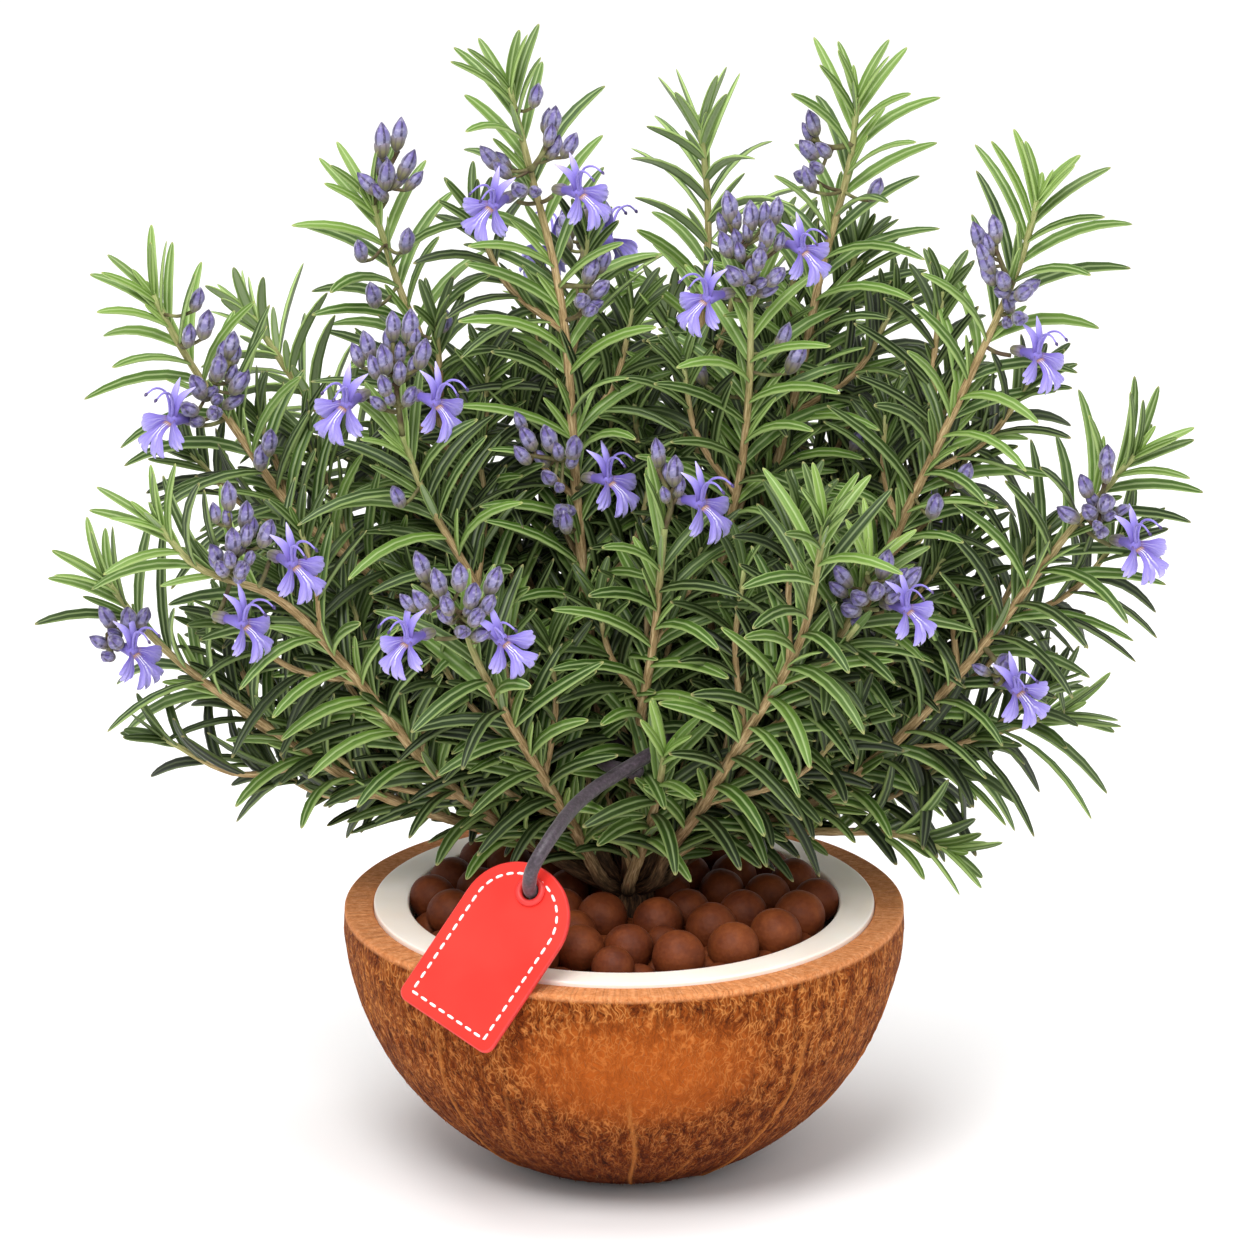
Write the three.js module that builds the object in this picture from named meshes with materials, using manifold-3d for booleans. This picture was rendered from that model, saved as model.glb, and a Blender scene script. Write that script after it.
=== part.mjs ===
// A rosemary plant in flower, growing in half a coconut, with clay pebbles over
// the potting mix and a swing tag tied to one of its stems. Millimetres, +Z up.
// The origin is the middle of the flat foot, the front of the plant faces -Y.
import * as THREE from 'three';
import { mergeVertices } from 'three/addons/utils/BufferGeometryUtils.js';
import Module from 'manifold-3d';

const wasm = await Module();
wasm.setup();

// ---- Driving dimensions ----
const GAP = 0.3; // clearance that touching pieces keep

const BOWL_RADIUS = 67.5; // outside of the half coconut, a true half sphere
const BOWL_HEIGHT = 64; // foot to cut rim
const SHELL_WALL = 7;
const FLESH_WALL = 7.5;
const FLESH_LIP = 1; // the flesh stands this much proud of the cut shell
const BOWL_SEGMENTS = 32;
const BOWL_STEPS = 7; // facets from rim to foot, the same on walls that nest

const RIM_CAPSULES = 24; // round each cut edge, for the leaves to keep clear of

const MIX_TOP = 58;
const MIX_INSET = 0.6; // keeps the mix inside the flesh's flat facets

// The woody crown: a stump with a domed top, its middle z the dome's.
const CROWN = { x: 1, y: 4, z: 65, radius: 7, foot: 44, footRadius: 5.2, sides: 12, domeSteps: 4 };

const STEM_SIDES = 6;
const STEM_BASE_RADIUS = 1.2;
const STEM_TIP_RADIUS = 0.7;
const STEM_STRAIGHT = 6; // length that leaves the crown square to it
const STEM_CAPSULES = 16;

const LEAF_LENGTH = 26;
const LEAF_WIDTH = 2.8;
const LEAF_THICKNESS = 1.3;
const LEAF_PITCH = 18; // between pairs of leaves along a stem
const LEAF_BARE = 16; // bare length above the crown
const LEAF_CLEARANCE = 0.35;
const LEAF_LAST = 0.985; // share of the stem's length where the tuft sits
const LEAF_SPREAD = { base: THREE.MathUtils.degToRad(62), tip: THREE.MathUtils.degToRad(26) };
const LEAF_TURN = 0.4; // radians by which the first pair is turned round the stem
const SHORTER_LEAVES = [1, 0.75, 0.55]; // lengths tried, as shares of the whole

const PEDICEL_RADIUS = 0.45;
const BUD_RADIUS = 1.7;
const BUD_TIP = 2.4; // from its middle to its point
const BUD_OVERLAP = 1.6; // how far its stalk goes into the knuckle
const COROLLA_WIDTH = 13;

const KNUCKLE_AT = { tip: 0.45, side: 0.6 }; // where the stalks part, from stem to flowers
const STALK_RADIUS = { shared: 0.72, flower: 0.68 };
const COROLLA_THICKNESS = 1;

const PEBBLE_LEVEL = 64.5; // middle of the clay balls, level with the rim
const PEBBLE_SIDES = 8;
const PEBBLE_RINGS = 4;

// The bed of pebbles, between two bearings in degrees; left of the crown it
// goes on further, but only out to a smaller radius.
const BED = { inner: 16, outer: 51.8, first: 6, last: 176, high: 69.2, corner: [24, -2] };
const LEFT_BED = { outer: 34, last: 222 };
const BED_STEP = 10; // degrees between the points of its outer edge
const BED_INNER_STEP = 24;
const BED_CAPSULE = { inset: 5, outset: 6, radius: 6.2 };

const TAG = { width: 28, length: 44.5, thickness: 1.8, corner: 2.5 };
const TAG_LEAN = THREE.MathUtils.degToRad(30);
const TAG_TURN = THREE.MathUtils.degToRad(25);
const TAG_RIM_X = -24; // where the tag rests on the rim
const TAG_MIDDLE = -11.8; // its middle line, from that point across the tag
const TAG_BOTTOM = -17.5; // its lower edge, from that point down the tag
const HOLE_FROM_TOP = 6.2;
const EYELET = { bore: 2.05, barrel: 2.7, flange: 3.8, flangeHeight: 0.9, outerBevel: 0.5,
  innerBevel: 0.4, sides: 12 };
const TAG_CURVE_STEPS = 6;

const CORD_DIAMETER = 3.4;
const CORD_SIDES = 8;
const CORD_STEPS = 36;
const CORD_PAST_TAG = 0.5; // its end stands this far behind the tag
const KNOT = { radius: 3.4, flatness: 0.8, sides: 8, rings: 4 };

// ---- Materials ----
function finish(color, roughness, metalness = 0) {
  return new THREE.MeshStandardMaterial({ color, roughness, metalness });
}

const materials = {
  shell: finish(0xa8622c, 0.8),
  flesh: finish(0xfbf3ec, 0.6),
  mix: finish(0x2a1c14, 0.95),
  bark: finish(0x8c6a4c, 0.85),
  leaf: finish(0x3f6b35, 0.55),
  flower: finish(0x8a7fe0, 0.6),
  pebble: finish(0x6b3420, 0.85),
  tag: finish(0xff4a40, 0.5),
  cord: finish(0x5a5060, 0.75),
};

// ---- Solids ----
// A three.js geometry, its shared vertices merged, as a closed solid.
function solid(geometry) {
  const bare = new THREE.BufferGeometry();
  bare.setAttribute('position', geometry.getAttribute('position').clone());
  if (geometry.index) bare.setIndex(geometry.index.clone());
  const merged = mergeVertices(bare, 1e-3);
  return new wasm.Manifold(new wasm.Mesh({
    numProp: 3,
    vertProperties: new Float32Array(merged.getAttribute('position').array),
    triVerts: new Uint32Array(merged.index.array),
  }));
}

function geometryOf(manifold) {
  const mesh = manifold.getMesh();
  const geometry = new THREE.BufferGeometry();
  geometry.setAttribute('position', new THREE.BufferAttribute(mesh.vertProperties, 3));
  geometry.setIndex(new THREE.BufferAttribute(mesh.triVerts, 1));
  geometry.computeVertexNormals();
  return geometry;
}

const group = new THREE.Group();

function addPiece(name, shape, material) {
  const geometry = shape.isBufferGeometry ? shape : geometryOf(shape);
  const mesh = new THREE.Mesh(geometry, material);
  mesh.name = name;
  group.add(mesh);
  return mesh;
}

const point = (p) => new THREE.Vector3(p[0], p[1], p[2]);

// Moves a geometry that stands along Y from 0 to 1 onto a curve. Its X and Z
// are multiplied by radiusAt(t), and Z points away from the side direction.
function bendAlong(geometry, curve, radiusAt, side) {
  const position = geometry.getAttribute('position');
  const across = new THREE.Vector3();
  const out = new THREE.Vector3();
  for (let i = 0; i < position.count; i++) {
    const t = position.getY(i);
    const tangent = curve.getTangentAt(t);
    across.crossVectors(tangent, side).normalize();
    out.crossVectors(across, tangent);
    const [width, thickness] = radiusAt(t);
    const place = curve.getPointAt(t)
      .addScaledVector(across, position.getX(i) * width)
      .addScaledVector(out, position.getZ(i) * thickness);
    position.setXYZ(i, place.x, place.y, place.z);
  }
  return geometry;
}

// ---- What is already placed, as capsules, so that leaves can keep clear ----
const placed = [];

function place(owner, from, to, radius) {
  placed.push({ owner, from: from.clone(), to: to.clone(), radius });
}

function segmentDistance(a, b, c, d) {
  const u = b.clone().sub(a);
  const v = d.clone().sub(c);
  const w = a.clone().sub(c);
  const uu = u.dot(u);
  const uv = u.dot(v);
  const vv = v.dot(v);
  const uw = u.dot(w);
  const vw = v.dot(w);
  const denominator = uu * vv - uv * uv;
  let s = denominator > 1e-9 ? THREE.MathUtils.clamp((uv * vw - vv * uw) / denominator, 0, 1) : 0;
  let t = vv > 1e-9 ? (uv * s + vw) / vv : 0;
  t = THREE.MathUtils.clamp(t, 0, 1);
  s = uu > 1e-9 ? THREE.MathUtils.clamp((uv * t - uw) / uu, 0, 1) : 0;
  return a.clone().addScaledVector(u, s).distanceTo(c.clone().addScaledVector(v, t));
}

function isClear(owner, from, to, radius) {
  return placed.every((other) => other.owner === owner
    || segmentDistance(from, to, other.from, other.to) > radius + other.radius + LEAF_CLEARANCE);
}

function placeAlong(owner, curve, radiusAt, steps) {
  for (let i = 0; i < steps; i++) {
    const from = curve.getPointAt(i / steps);
    const to = curve.getPointAt((i + 1) / steps);
    place(owner, from, to, radiusAt(i / steps));
  }
}

// ---- The bowl: half a coconut, its husk sanded flat at the foot ----
const footAngle = Math.asin(BOWL_HEIGHT / BOWL_RADIUS);

// Points on a sphere of that radius round the bowl's middle, from the rim down.
function bowlArc(radius, lowestAngle) {
  const points = [];
  for (let i = 0; i <= BOWL_STEPS; i++) {
    const angle = (lowestAngle * i) / BOWL_STEPS;
    points.push(new THREE.Vector2(radius * Math.cos(angle), BOWL_HEIGHT - radius * Math.sin(angle)));
  }
  return points;
}

function onAxis(height) {
  return new THREE.Vector2(0, height);
}

// A lathe turns round Y, so the profile's height is turned up to +Z.
function turned(profile) {
  const geometry = new THREE.LatheGeometry(profile, BOWL_SEGMENTS);
  geometry.rotateX(Math.PI / 2);
  return geometry;
}

function bowlWall(outer, outerLowest, inner, lip) {
  const outside = bowlArc(outer, outerLowest).reverse();
  const inside = bowlArc(inner, Math.PI / 2);
  inside.at(-1).x = 0;
  const bottom = onAxis(outside[0].y);
  const isPointed = outerLowest === Math.PI / 2; // its lowest point is already on the axis
  const lipPoints = lip > 0
    ? [new THREE.Vector2(outer, BOWL_HEIGHT + lip), new THREE.Vector2(inner, BOWL_HEIGHT + lip)]
    : [];
  return turned([bottom, ...outside.slice(isPointed ? 1 : 0), ...lipPoints, ...inside]);
}

const shellInside = BOWL_RADIUS - SHELL_WALL;
const fleshOutside = shellInside - GAP;
const fleshInside = fleshOutside - FLESH_WALL;

addPiece('coconut_shell', bowlWall(BOWL_RADIUS, footAngle, shellInside, 0), materials.shell);
addPiece('coconut_flesh', bowlWall(fleshOutside, Math.PI / 2, fleshInside, FLESH_LIP), materials.flesh);

// The two cut edges, for the leaves to keep clear of.
function placeRing(owner, radius, wall, top) {
  for (let i = 0; i < RIM_CAPSULES; i++) {
    const [from, to] = [i, i + 1].map((step) => {
      const bearing = (step / RIM_CAPSULES) * Math.PI * 2;
      return new THREE.Vector3(radius * Math.cos(bearing), radius * Math.sin(bearing), top - wall / 2);
    });
    place(owner, from, to, wall / 2 + 1);
  }
}
placeRing('coconut_shell', BOWL_RADIUS - SHELL_WALL / 2, SHELL_WALL, BOWL_HEIGHT);
placeRing('coconut_flesh', fleshInside + FLESH_WALL / 2, FLESH_WALL, BOWL_HEIGHT + FLESH_LIP);

// ---- Potting mix, with a pocket that the woody crown stands in ----
const mixRadius = fleshInside - GAP;
const mixAngle = Math.asin((BOWL_HEIGHT - MIX_TOP) / mixRadius);
const mixEdge = (mixRadius - MIX_INSET) * Math.cos(mixAngle);
const mixArc = bowlArc(mixRadius, Math.PI / 2)
  .filter((p) => p.y < MIX_TOP)
  .reverse();
mixArc[0].x = 0;
const mixProfile = [
  ...mixArc,
  new THREE.Vector2(mixEdge, MIX_TOP),
  onAxis(MIX_TOP),
];
const pocket = new THREE.CylinderGeometry(
  CROWN.radius + GAP, CROWN.radius + GAP, CROWN.z - CROWN.foot, CROWN.sides);
pocket.rotateX(Math.PI / 2);
pocket.translate(CROWN.x, CROWN.y, (CROWN.z + CROWN.foot) / 2);
addPiece('potting_mix', solid(turned(mixProfile)).subtract(solid(pocket)), materials.mix);

const crownFoot = CROWN.foot + GAP - CROWN.z;
const crownProfile = [onAxis(crownFoot), new THREE.Vector2(CROWN.footRadius, crownFoot)];
for (let i = 0; i < CROWN.domeSteps; i++) {
  const angle = (Math.PI / 2) * (i / CROWN.domeSteps);
  crownProfile.push(new THREE.Vector2(CROWN.radius * Math.cos(angle), CROWN.radius * Math.sin(angle)));
}
crownProfile.push(onAxis(CROWN.radius));
const crownShape = new THREE.LatheGeometry(crownProfile, CROWN.sides);
crownShape.rotateX(Math.PI / 2);
crownShape.translate(CROWN.x, CROWN.y, CROWN.z);
addPiece('woody_crown', crownShape, materials.bark);
place('woody_crown', new THREE.Vector3(CROWN.x, CROWN.y, CROWN.foot),
  new THREE.Vector3(CROWN.x, CROWN.y, CROWN.z), CROWN.radius);

// ---- Stems: seat gives the height angle and the bearing, in degrees, at which
// a stem leaves the crown; through gives points that it passes ----
const stems = [
  { name: 'far_left', seat: [31, 172], through: [[-30, 3, 81], [-59, 0, 92], [-84, 0, 108],
    [-111, 4, 128], [-127, 8, 147]] },
  { name: 'left_low', seat: [31, 205], through: [[-25, -2, 82], [-45, -9, 100], [-64, -14, 126],
    [-83, -19, 148], [-102, -22, 157], [-113, -24, 171]] },
  { name: 'front_left', seat: [31, 238], through: [[-13, -14, 90], [-24, -25, 113],
    [-35, -36, 138], [-39, -40, 151]] },
  { name: 'young_shoot', seat: [31, 271], through: [[5, -11, 84], [8, -21, 99], [10, -28, 114]] },
  { name: 'front_right', seat: [31, 304], through: [[10, -8, 79], [18, -15, 93], [28, -25, 114],
    [42, -38, 144], [48, -50, 180]] },
  { name: 'right_spike', seat: [31, 337], through: [[17, -3, 83], [30, -9, 102], [42, -15, 124],
    [54, -20, 143], [59, -22, 159]] },
  { name: 'far_right', seat: [31, 10], through: [[23, 4, 79], [42, 3, 87], [61, 1, 101],
    [85, 0, 128], [106, -4, 159], [125, -8, 184]] },
  { name: 'right_low', seat: [31, 43], through: [[28, 14, 77], [56, 19, 86], [81, 22, 97],
    [109, 28, 104]], branch: [[30, 14, 77.5], [48, 7, 80], [66, 5, 80], [78, 3, 77]] },
  { name: 'back_right_low', seat: [31, 76], through: [[18, 24, 86], [42, 46, 103], [64, 62, 124],
    [80, 72, 146]] },
  { name: 'back_low', seat: [31, 109], through: [[-2, 26, 86], [-6, 50, 106], [-8, 74, 130],
    [-10, 90, 156]] },
  { name: 'back_left_low', seat: [31, 141], through: [[-18, 20, 84], [-44, 38, 100],
    [-68, 54, 122], [-88, 62, 146]] },
  { name: 'left_high', seat: [54, 180], through: [[-15, 7, 93], [-35, 10, 116], [-54, 12, 138],
    [-77, 12, 157], [-93, 12, 180], [-106, 14, 200], [-114, 14, 216]] },
  { name: 'left_mid', seat: [54, 225], through: [[-9, -2, 92], [-21, -6, 118], [-36, -9, 149],
    [-48, -10, 172], [-54, -11, 190]] },
  { name: 'centre', seat: [54, 270], through: [[2, -5, 93], [4, -11, 115], [7, -17, 136],
    [9, -22, 159], [10, -23, 170]] },
  { name: 'centre_spike', seat: [54, 315], through: [[11, 2, 92], [19, 2, 126], [25, 0, 159],
    [28, -2, 175], [30, -4, 199], [30, -6, 223]] },
  { name: 'upper_right', seat: [54, 0], through: [[18, 7, 90], [34, 4, 108], [53, -2, 132],
    [67, -5, 164], [80, -7, 194], [94, -8, 228], [99, -8, 247]] },
  { name: 'right_back', seat: [54, 45], through: [[17, 16, 97], [30, 25, 124], [47, 40, 156],
    [65, 52, 189]], branch: [[30, 24.5, 123], [30, 40, 150], [34, 54, 182], [36, 62, 212]] },
  { name: 'back_high', seat: [54, 90], through: [[0, 18, 98], [-4, 32, 130], [-8, 46, 170],
    [-10, 58, 212]] },
  { name: 'upper_left', seat: [54, 135], through: [[-11, 13, 93], [-26, 18, 126], [-40, 20, 161],
    [-48, 25, 197], [-54, 28, 211], [-61, 30, 234]], branch: [[-26, 18, 126], [-52, 34, 152],
    [-76, 42, 178], [-94, 48, 204]] },
  { name: 'tall_left', seat: [76, 232], through: [[-3, 2, 92], [-7, 1, 119], [-11, 2, 161],
    [-15, 6, 214], [-23, 8, 249], [-28, 8, 270]] },
  { name: 'tall_right', seat: [76, 352], through: [[7, 6, 95], [20, 9, 129], [34, 12, 163],
    [43, 16, 197], [47, 18, 217], [54, 20, 245], [56, 20, 264]] },
  { name: 'centre_back', seat: [76, 112], through: [[3, 9, 99], [8, 16, 136], [16, 25, 179],
    [20, 34, 216], [20, 36, 232], [18, 36, 251]] },
];

function onCrown([heightAngle, bearing], radius) {
  const height = THREE.MathUtils.degToRad(heightAngle);
  const round = THREE.MathUtils.degToRad(bearing);
  return new THREE.Vector3(
    CROWN.x + radius * Math.cos(height) * Math.cos(round),
    CROWN.y + radius * Math.cos(height) * Math.sin(round),
    CROWN.z + radius * Math.sin(height));
}

function stemCurve(stem) {
  const start = CROWN.radius + GAP;
  return new THREE.CatmullRomCurve3([
    onCrown(stem.seat, start),
    onCrown(stem.seat, start + STEM_STRAIGHT),
    ...stem.through.map(point),
  ]);
}

const stemRadius = (t) => THREE.MathUtils.lerp(STEM_BASE_RADIUS, STEM_TIP_RADIUS, t);

const stemSteps = (curve) => Math.max(3, Math.round(curve.getLength() / LEAF_PITCH));

function stemShape(curve) {
  const tube = new THREE.CylinderGeometry(1, 1, 1, STEM_SIDES, stemSteps(curve));
  tube.translate(0, 0.5, 0);
  return bendAlong(tube, curve, (t) => [stemRadius(t), stemRadius(t)], new THREE.Vector3(0, -1, 0.01));
}

for (const stem of stems) {
  stem.node = `sprig_${stem.name}`;
  stem.curves = [stemCurve(stem)];
  if (stem.branch) stem.curves.push(new THREE.CatmullRomCurve3(stem.branch.map(point)));
  for (const curve of stem.curves) placeAlong(stem.node, curve, stemRadius, STEM_CAPSULES);
}

// ---- Clay pebbles: balls in one layer round the crown; those at the front lie
// singly, given as x, y and radius, and the rest of the layer is one low bed ----
const frontPebbles = [
  [-41.5, -8.8, 5.8], [-10.6, -34.7, 5.9], [1, -33.9, 5.8], [13, -39.6, 6.2],
  [-5.3, -11.5, 5.9], [8.2, -14.9, 5.9], [21.1, -19.5, 6.1], [28.6, -9.0, 5.7],
  [26.2, -33.4, 6], [36.4, -23.3, 6], [42.2, -10.5, 6.1],
];
frontPebbles.forEach(([x, y, radius], i) => {
  const ball = new THREE.SphereGeometry(radius, PEBBLE_SIDES, PEBBLE_RINGS);
  ball.rotateX(Math.PI / 2);
  ball.translate(x, y, PEBBLE_LEVEL);
  const name = `clay_pebble_${String(i + 1).padStart(2, '0')}`;
  addPiece(name, solid(ball), materials.pebble);
  place(name, new THREE.Vector3(x, y, PEBBLE_LEVEL), new THREE.Vector3(x, y, PEBBLE_LEVEL), radius);
});

const bedLow = MIX_TOP + GAP;
function onRing(radius, degrees) {
  const bearing = THREE.MathUtils.degToRad(degrees);
  return [radius * Math.cos(bearing), radius * Math.sin(bearing)];
}
const bedOutline = new THREE.Shape();
bedOutline.moveTo(...onRing(BED.outer, BED.first));
for (let degrees = BED.first + BED_STEP; degrees <= BED.last; degrees += BED_STEP) {
  bedOutline.lineTo(...onRing(BED.outer, degrees));
}
for (const degrees of [BED.last + 2, (BED.last + LEFT_BED.last) / 2, LEFT_BED.last]) {
  bedOutline.lineTo(...onRing(LEFT_BED.outer, degrees));
}
for (let degrees = LEFT_BED.last; degrees >= BED.first; degrees -= BED_INNER_STEP) {
  bedOutline.lineTo(...onRing(BED.inner, degrees));
}
bedOutline.lineTo(...onRing(...BED.corner));
const bedShape = new THREE.ExtrudeGeometry(bedOutline, {
  depth: BED.high - bedLow, bevelEnabled: false });
bedShape.translate(0, 0, bedLow);
addPiece('pebble_bed', solid(bedShape), materials.pebble);
for (let degrees = BED.first; degrees <= LEFT_BED.last; degrees += BED_STEP) {
  const outer = degrees > BED.last ? LEFT_BED.outer : BED.outer;
  const [x, y] = onRing(BED.inner + BED_CAPSULE.inset, degrees);
  const [farX, farY] = onRing(outer - BED_CAPSULE.outset, degrees);
  const level = (bedLow + BED.high) / 2;
  place('pebble_bed', new THREE.Vector3(x, y, level), new THREE.Vector3(farX, farY, level),
    BED_CAPSULE.radius);
}

// ---- The tag: a rounded plate that leans on the rim, with its eyelet ----
const rimY = -Math.sqrt(BOWL_RADIUS ** 2 - TAG_RIM_X ** 2);
const outward = new THREE.Vector3(TAG_RIM_X, rimY, 0).normalize();
const alongRim = new THREE.Vector3(-outward.y, outward.x, 0);
const upTag = new THREE.Vector3(0, 0, Math.cos(TAG_LEAN)).addScaledVector(outward, -Math.sin(TAG_LEAN));
const tagFace = outward.clone().multiplyScalar(Math.cos(TAG_LEAN));
tagFace.z = Math.sin(TAG_LEAN);
const tagAcross = alongRim.clone().multiplyScalar(Math.cos(TAG_TURN))
  .addScaledVector(upTag, -Math.sin(TAG_TURN));
const tagUp = upTag.clone().multiplyScalar(Math.cos(TAG_TURN))
  .addScaledVector(alongRim, Math.sin(TAG_TURN));
const rimPoint = new THREE.Vector3(TAG_RIM_X, rimY, BOWL_HEIGHT);
const tagPlace = new THREE.Matrix4().makeBasis(tagAcross, tagUp, tagFace);
tagPlace.setPosition(rimPoint.clone().addScaledVector(tagFace, GAP));

// A point given across the tag, up it and out of its back face.
const onTag = (across, up, out) => new THREE.Vector3(across, up, out).applyMatrix4(tagPlace);

function tagOutline() {
  const half = TAG.width / 2;
  const left = TAG_MIDDLE - half;
  const right = TAG_MIDDLE + half;
  const arcMiddle = TAG_BOTTOM + TAG.length - half;
  const outline = new THREE.Shape();
  outline.moveTo(left + TAG.corner, TAG_BOTTOM);
  outline.lineTo(right - TAG.corner, TAG_BOTTOM);
  outline.absarc(right - TAG.corner, TAG_BOTTOM + TAG.corner, TAG.corner, -Math.PI / 2, 0, false);
  outline.lineTo(right, arcMiddle);
  outline.absarc(TAG_MIDDLE, arcMiddle, half, 0, Math.PI, false);
  outline.lineTo(left, TAG_BOTTOM + TAG.corner);
  outline.absarc(left + TAG.corner, TAG_BOTTOM + TAG.corner, TAG.corner, Math.PI, Math.PI * 1.5, false);
  return outline;
}

const holeUp = TAG_BOTTOM + TAG.length - HOLE_FROM_TOP;
const outline = tagOutline();
const hole = new THREE.Path();
hole.absarc(TAG_MIDDLE, holeUp, EYELET.barrel + GAP, 0, Math.PI * 2, true);
outline.holes.push(hole);
const plate = new THREE.ExtrudeGeometry(outline, {
  depth: TAG.thickness, bevelEnabled: false, curveSegments: TAG_CURVE_STEPS });
plate.applyMatrix4(tagPlace);
addPiece('swing_tag', solid(plate), materials.tag);
// Four strips that cover the plate: across from its middle line, and how far
// below its top each ends.
const tagStrips = [[-10, 8], [-3.4, 5], [3.4, 5], [10, 8]];
const TAG_STRIP_RADIUS = 4.2;
for (const [across, belowTop] of tagStrips) {
  const x = TAG_MIDDLE + across;
  const middle = TAG.thickness / 2;
  place('swing_tag', onTag(x, TAG_BOTTOM + TAG_STRIP_RADIUS, middle),
    onTag(x, TAG_BOTTOM + TAG.length - belowTop, middle), TAG_STRIP_RADIUS);
}

const eyeletFront = TAG.thickness + EYELET.flangeHeight + GAP;
const eyeletShape = new THREE.LatheGeometry([
  new THREE.Vector2(EYELET.bore, 0),
  new THREE.Vector2(EYELET.barrel, 0),
  new THREE.Vector2(EYELET.barrel, TAG.thickness + GAP),
  new THREE.Vector2(EYELET.flange, TAG.thickness + GAP),
  new THREE.Vector2(EYELET.flange - EYELET.outerBevel, eyeletFront),
  new THREE.Vector2(EYELET.bore + EYELET.innerBevel, eyeletFront),
  new THREE.Vector2(EYELET.bore, eyeletFront - EYELET.innerBevel),
  new THREE.Vector2(EYELET.bore, 0),
], EYELET.sides);
eyeletShape.rotateX(Math.PI / 2);
eyeletShape.translate(TAG_MIDDLE, holeUp, 0);
eyeletShape.applyMatrix4(tagPlace);
addPiece('tag_eyelet', solid(eyeletShape), materials.tag);

// ---- The cord: looped round the centre stem, where it is tied, then down to
// the eyelet and through it, held by a stopper knot behind the tag ----
const cordRoute = new THREE.CatmullRomCurve3([
  [1.6, -19.6, 104.4], [-1, -18, 104.5], [-3.4, -16, 104.6], [-5.1, -13.6, 104.9],
  [-6, -10.6, 105.1], [-5.7, -7.6, 105.5], [-4.5, -4.9, 105.9], [-2.3, -2.7, 106.4],
  [0.4, -1.5, 106.9], [3.4, -1.2, 107.5], [6.3, -2, 108], [8.7, -3.7, 108.4],
  [10.4, -6.2, 108.8], [11.2, -9.2, 109], [10.9, -12.2, 109.1], [9.6, -15, 109],
  [7.7, -17.4, 108.8], [5.6, -19.6, 108.4], [3.5, -21.7, 107.8], [1.3, -23.8, 107.1],
  [-0.9, -25.8, 106.4], [-3.1, -27.8, 105.6], [-5.3, -29.8, 104.9], [-7.3, -32, 104.1],
  [-9.2, -34.3, 103.3], [-10.8, -36.8, 102.6], [-12.2, -39.5, 102.1], [-13.3, -42.3, 101.6],
  [-14.4, -45.1, 101.2], [-15.4, -48, 100.6], [-16.6, -50.7, 99.8], [-17.9, -53.2, 98.6],
  [-19.4, -55.2, 96.8], [-20.9, -56.4, 94.5], [-22.1, -56.4, 91.7], [-22.5, -55.4, 88.8],
  [-22.4, -53.8, 86.5],
].map(point).concat([onTag(TAG_MIDDLE, holeUp, -CORD_PAST_TAG)]));

const cordSection = new THREE.Shape();
for (let i = 0; i < CORD_SIDES; i++) {
  const angle = (i / CORD_SIDES) * Math.PI * 2;
  const x = (CORD_DIAMETER / 2) * Math.cos(angle);
  const y = (CORD_DIAMETER / 2) * Math.sin(angle);
  if (i === 0) cordSection.moveTo(x, y);
  else cordSection.lineTo(x, y);
}
cordSection.closePath();
const cordShape = new THREE.ExtrudeGeometry(cordSection, {
  steps: CORD_STEPS, extrudePath: cordRoute, bevelEnabled: false });
addPiece('tag_cord', solid(cordShape), materials.cord);
placeAlong('tag_cord', cordRoute, () => CORD_DIAMETER / 2, CORD_STEPS);

const knotMiddle = onTag(TAG_MIDDLE, holeUp, -CORD_PAST_TAG - GAP - KNOT.radius * KNOT.flatness);
const knot = new THREE.SphereGeometry(KNOT.radius, KNOT.sides, KNOT.rings);
knot.scale(1, 1, KNOT.flatness);
knot.applyMatrix4(new THREE.Matrix4().extractRotation(tagPlace));
knot.translate(knotMiddle.x, knotMiddle.y, knotMiddle.z);
addPiece('cord_knot', solid(knot), materials.cord);
place('cord_knot', knotMiddle, knotMiddle, KNOT.radius);

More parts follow.
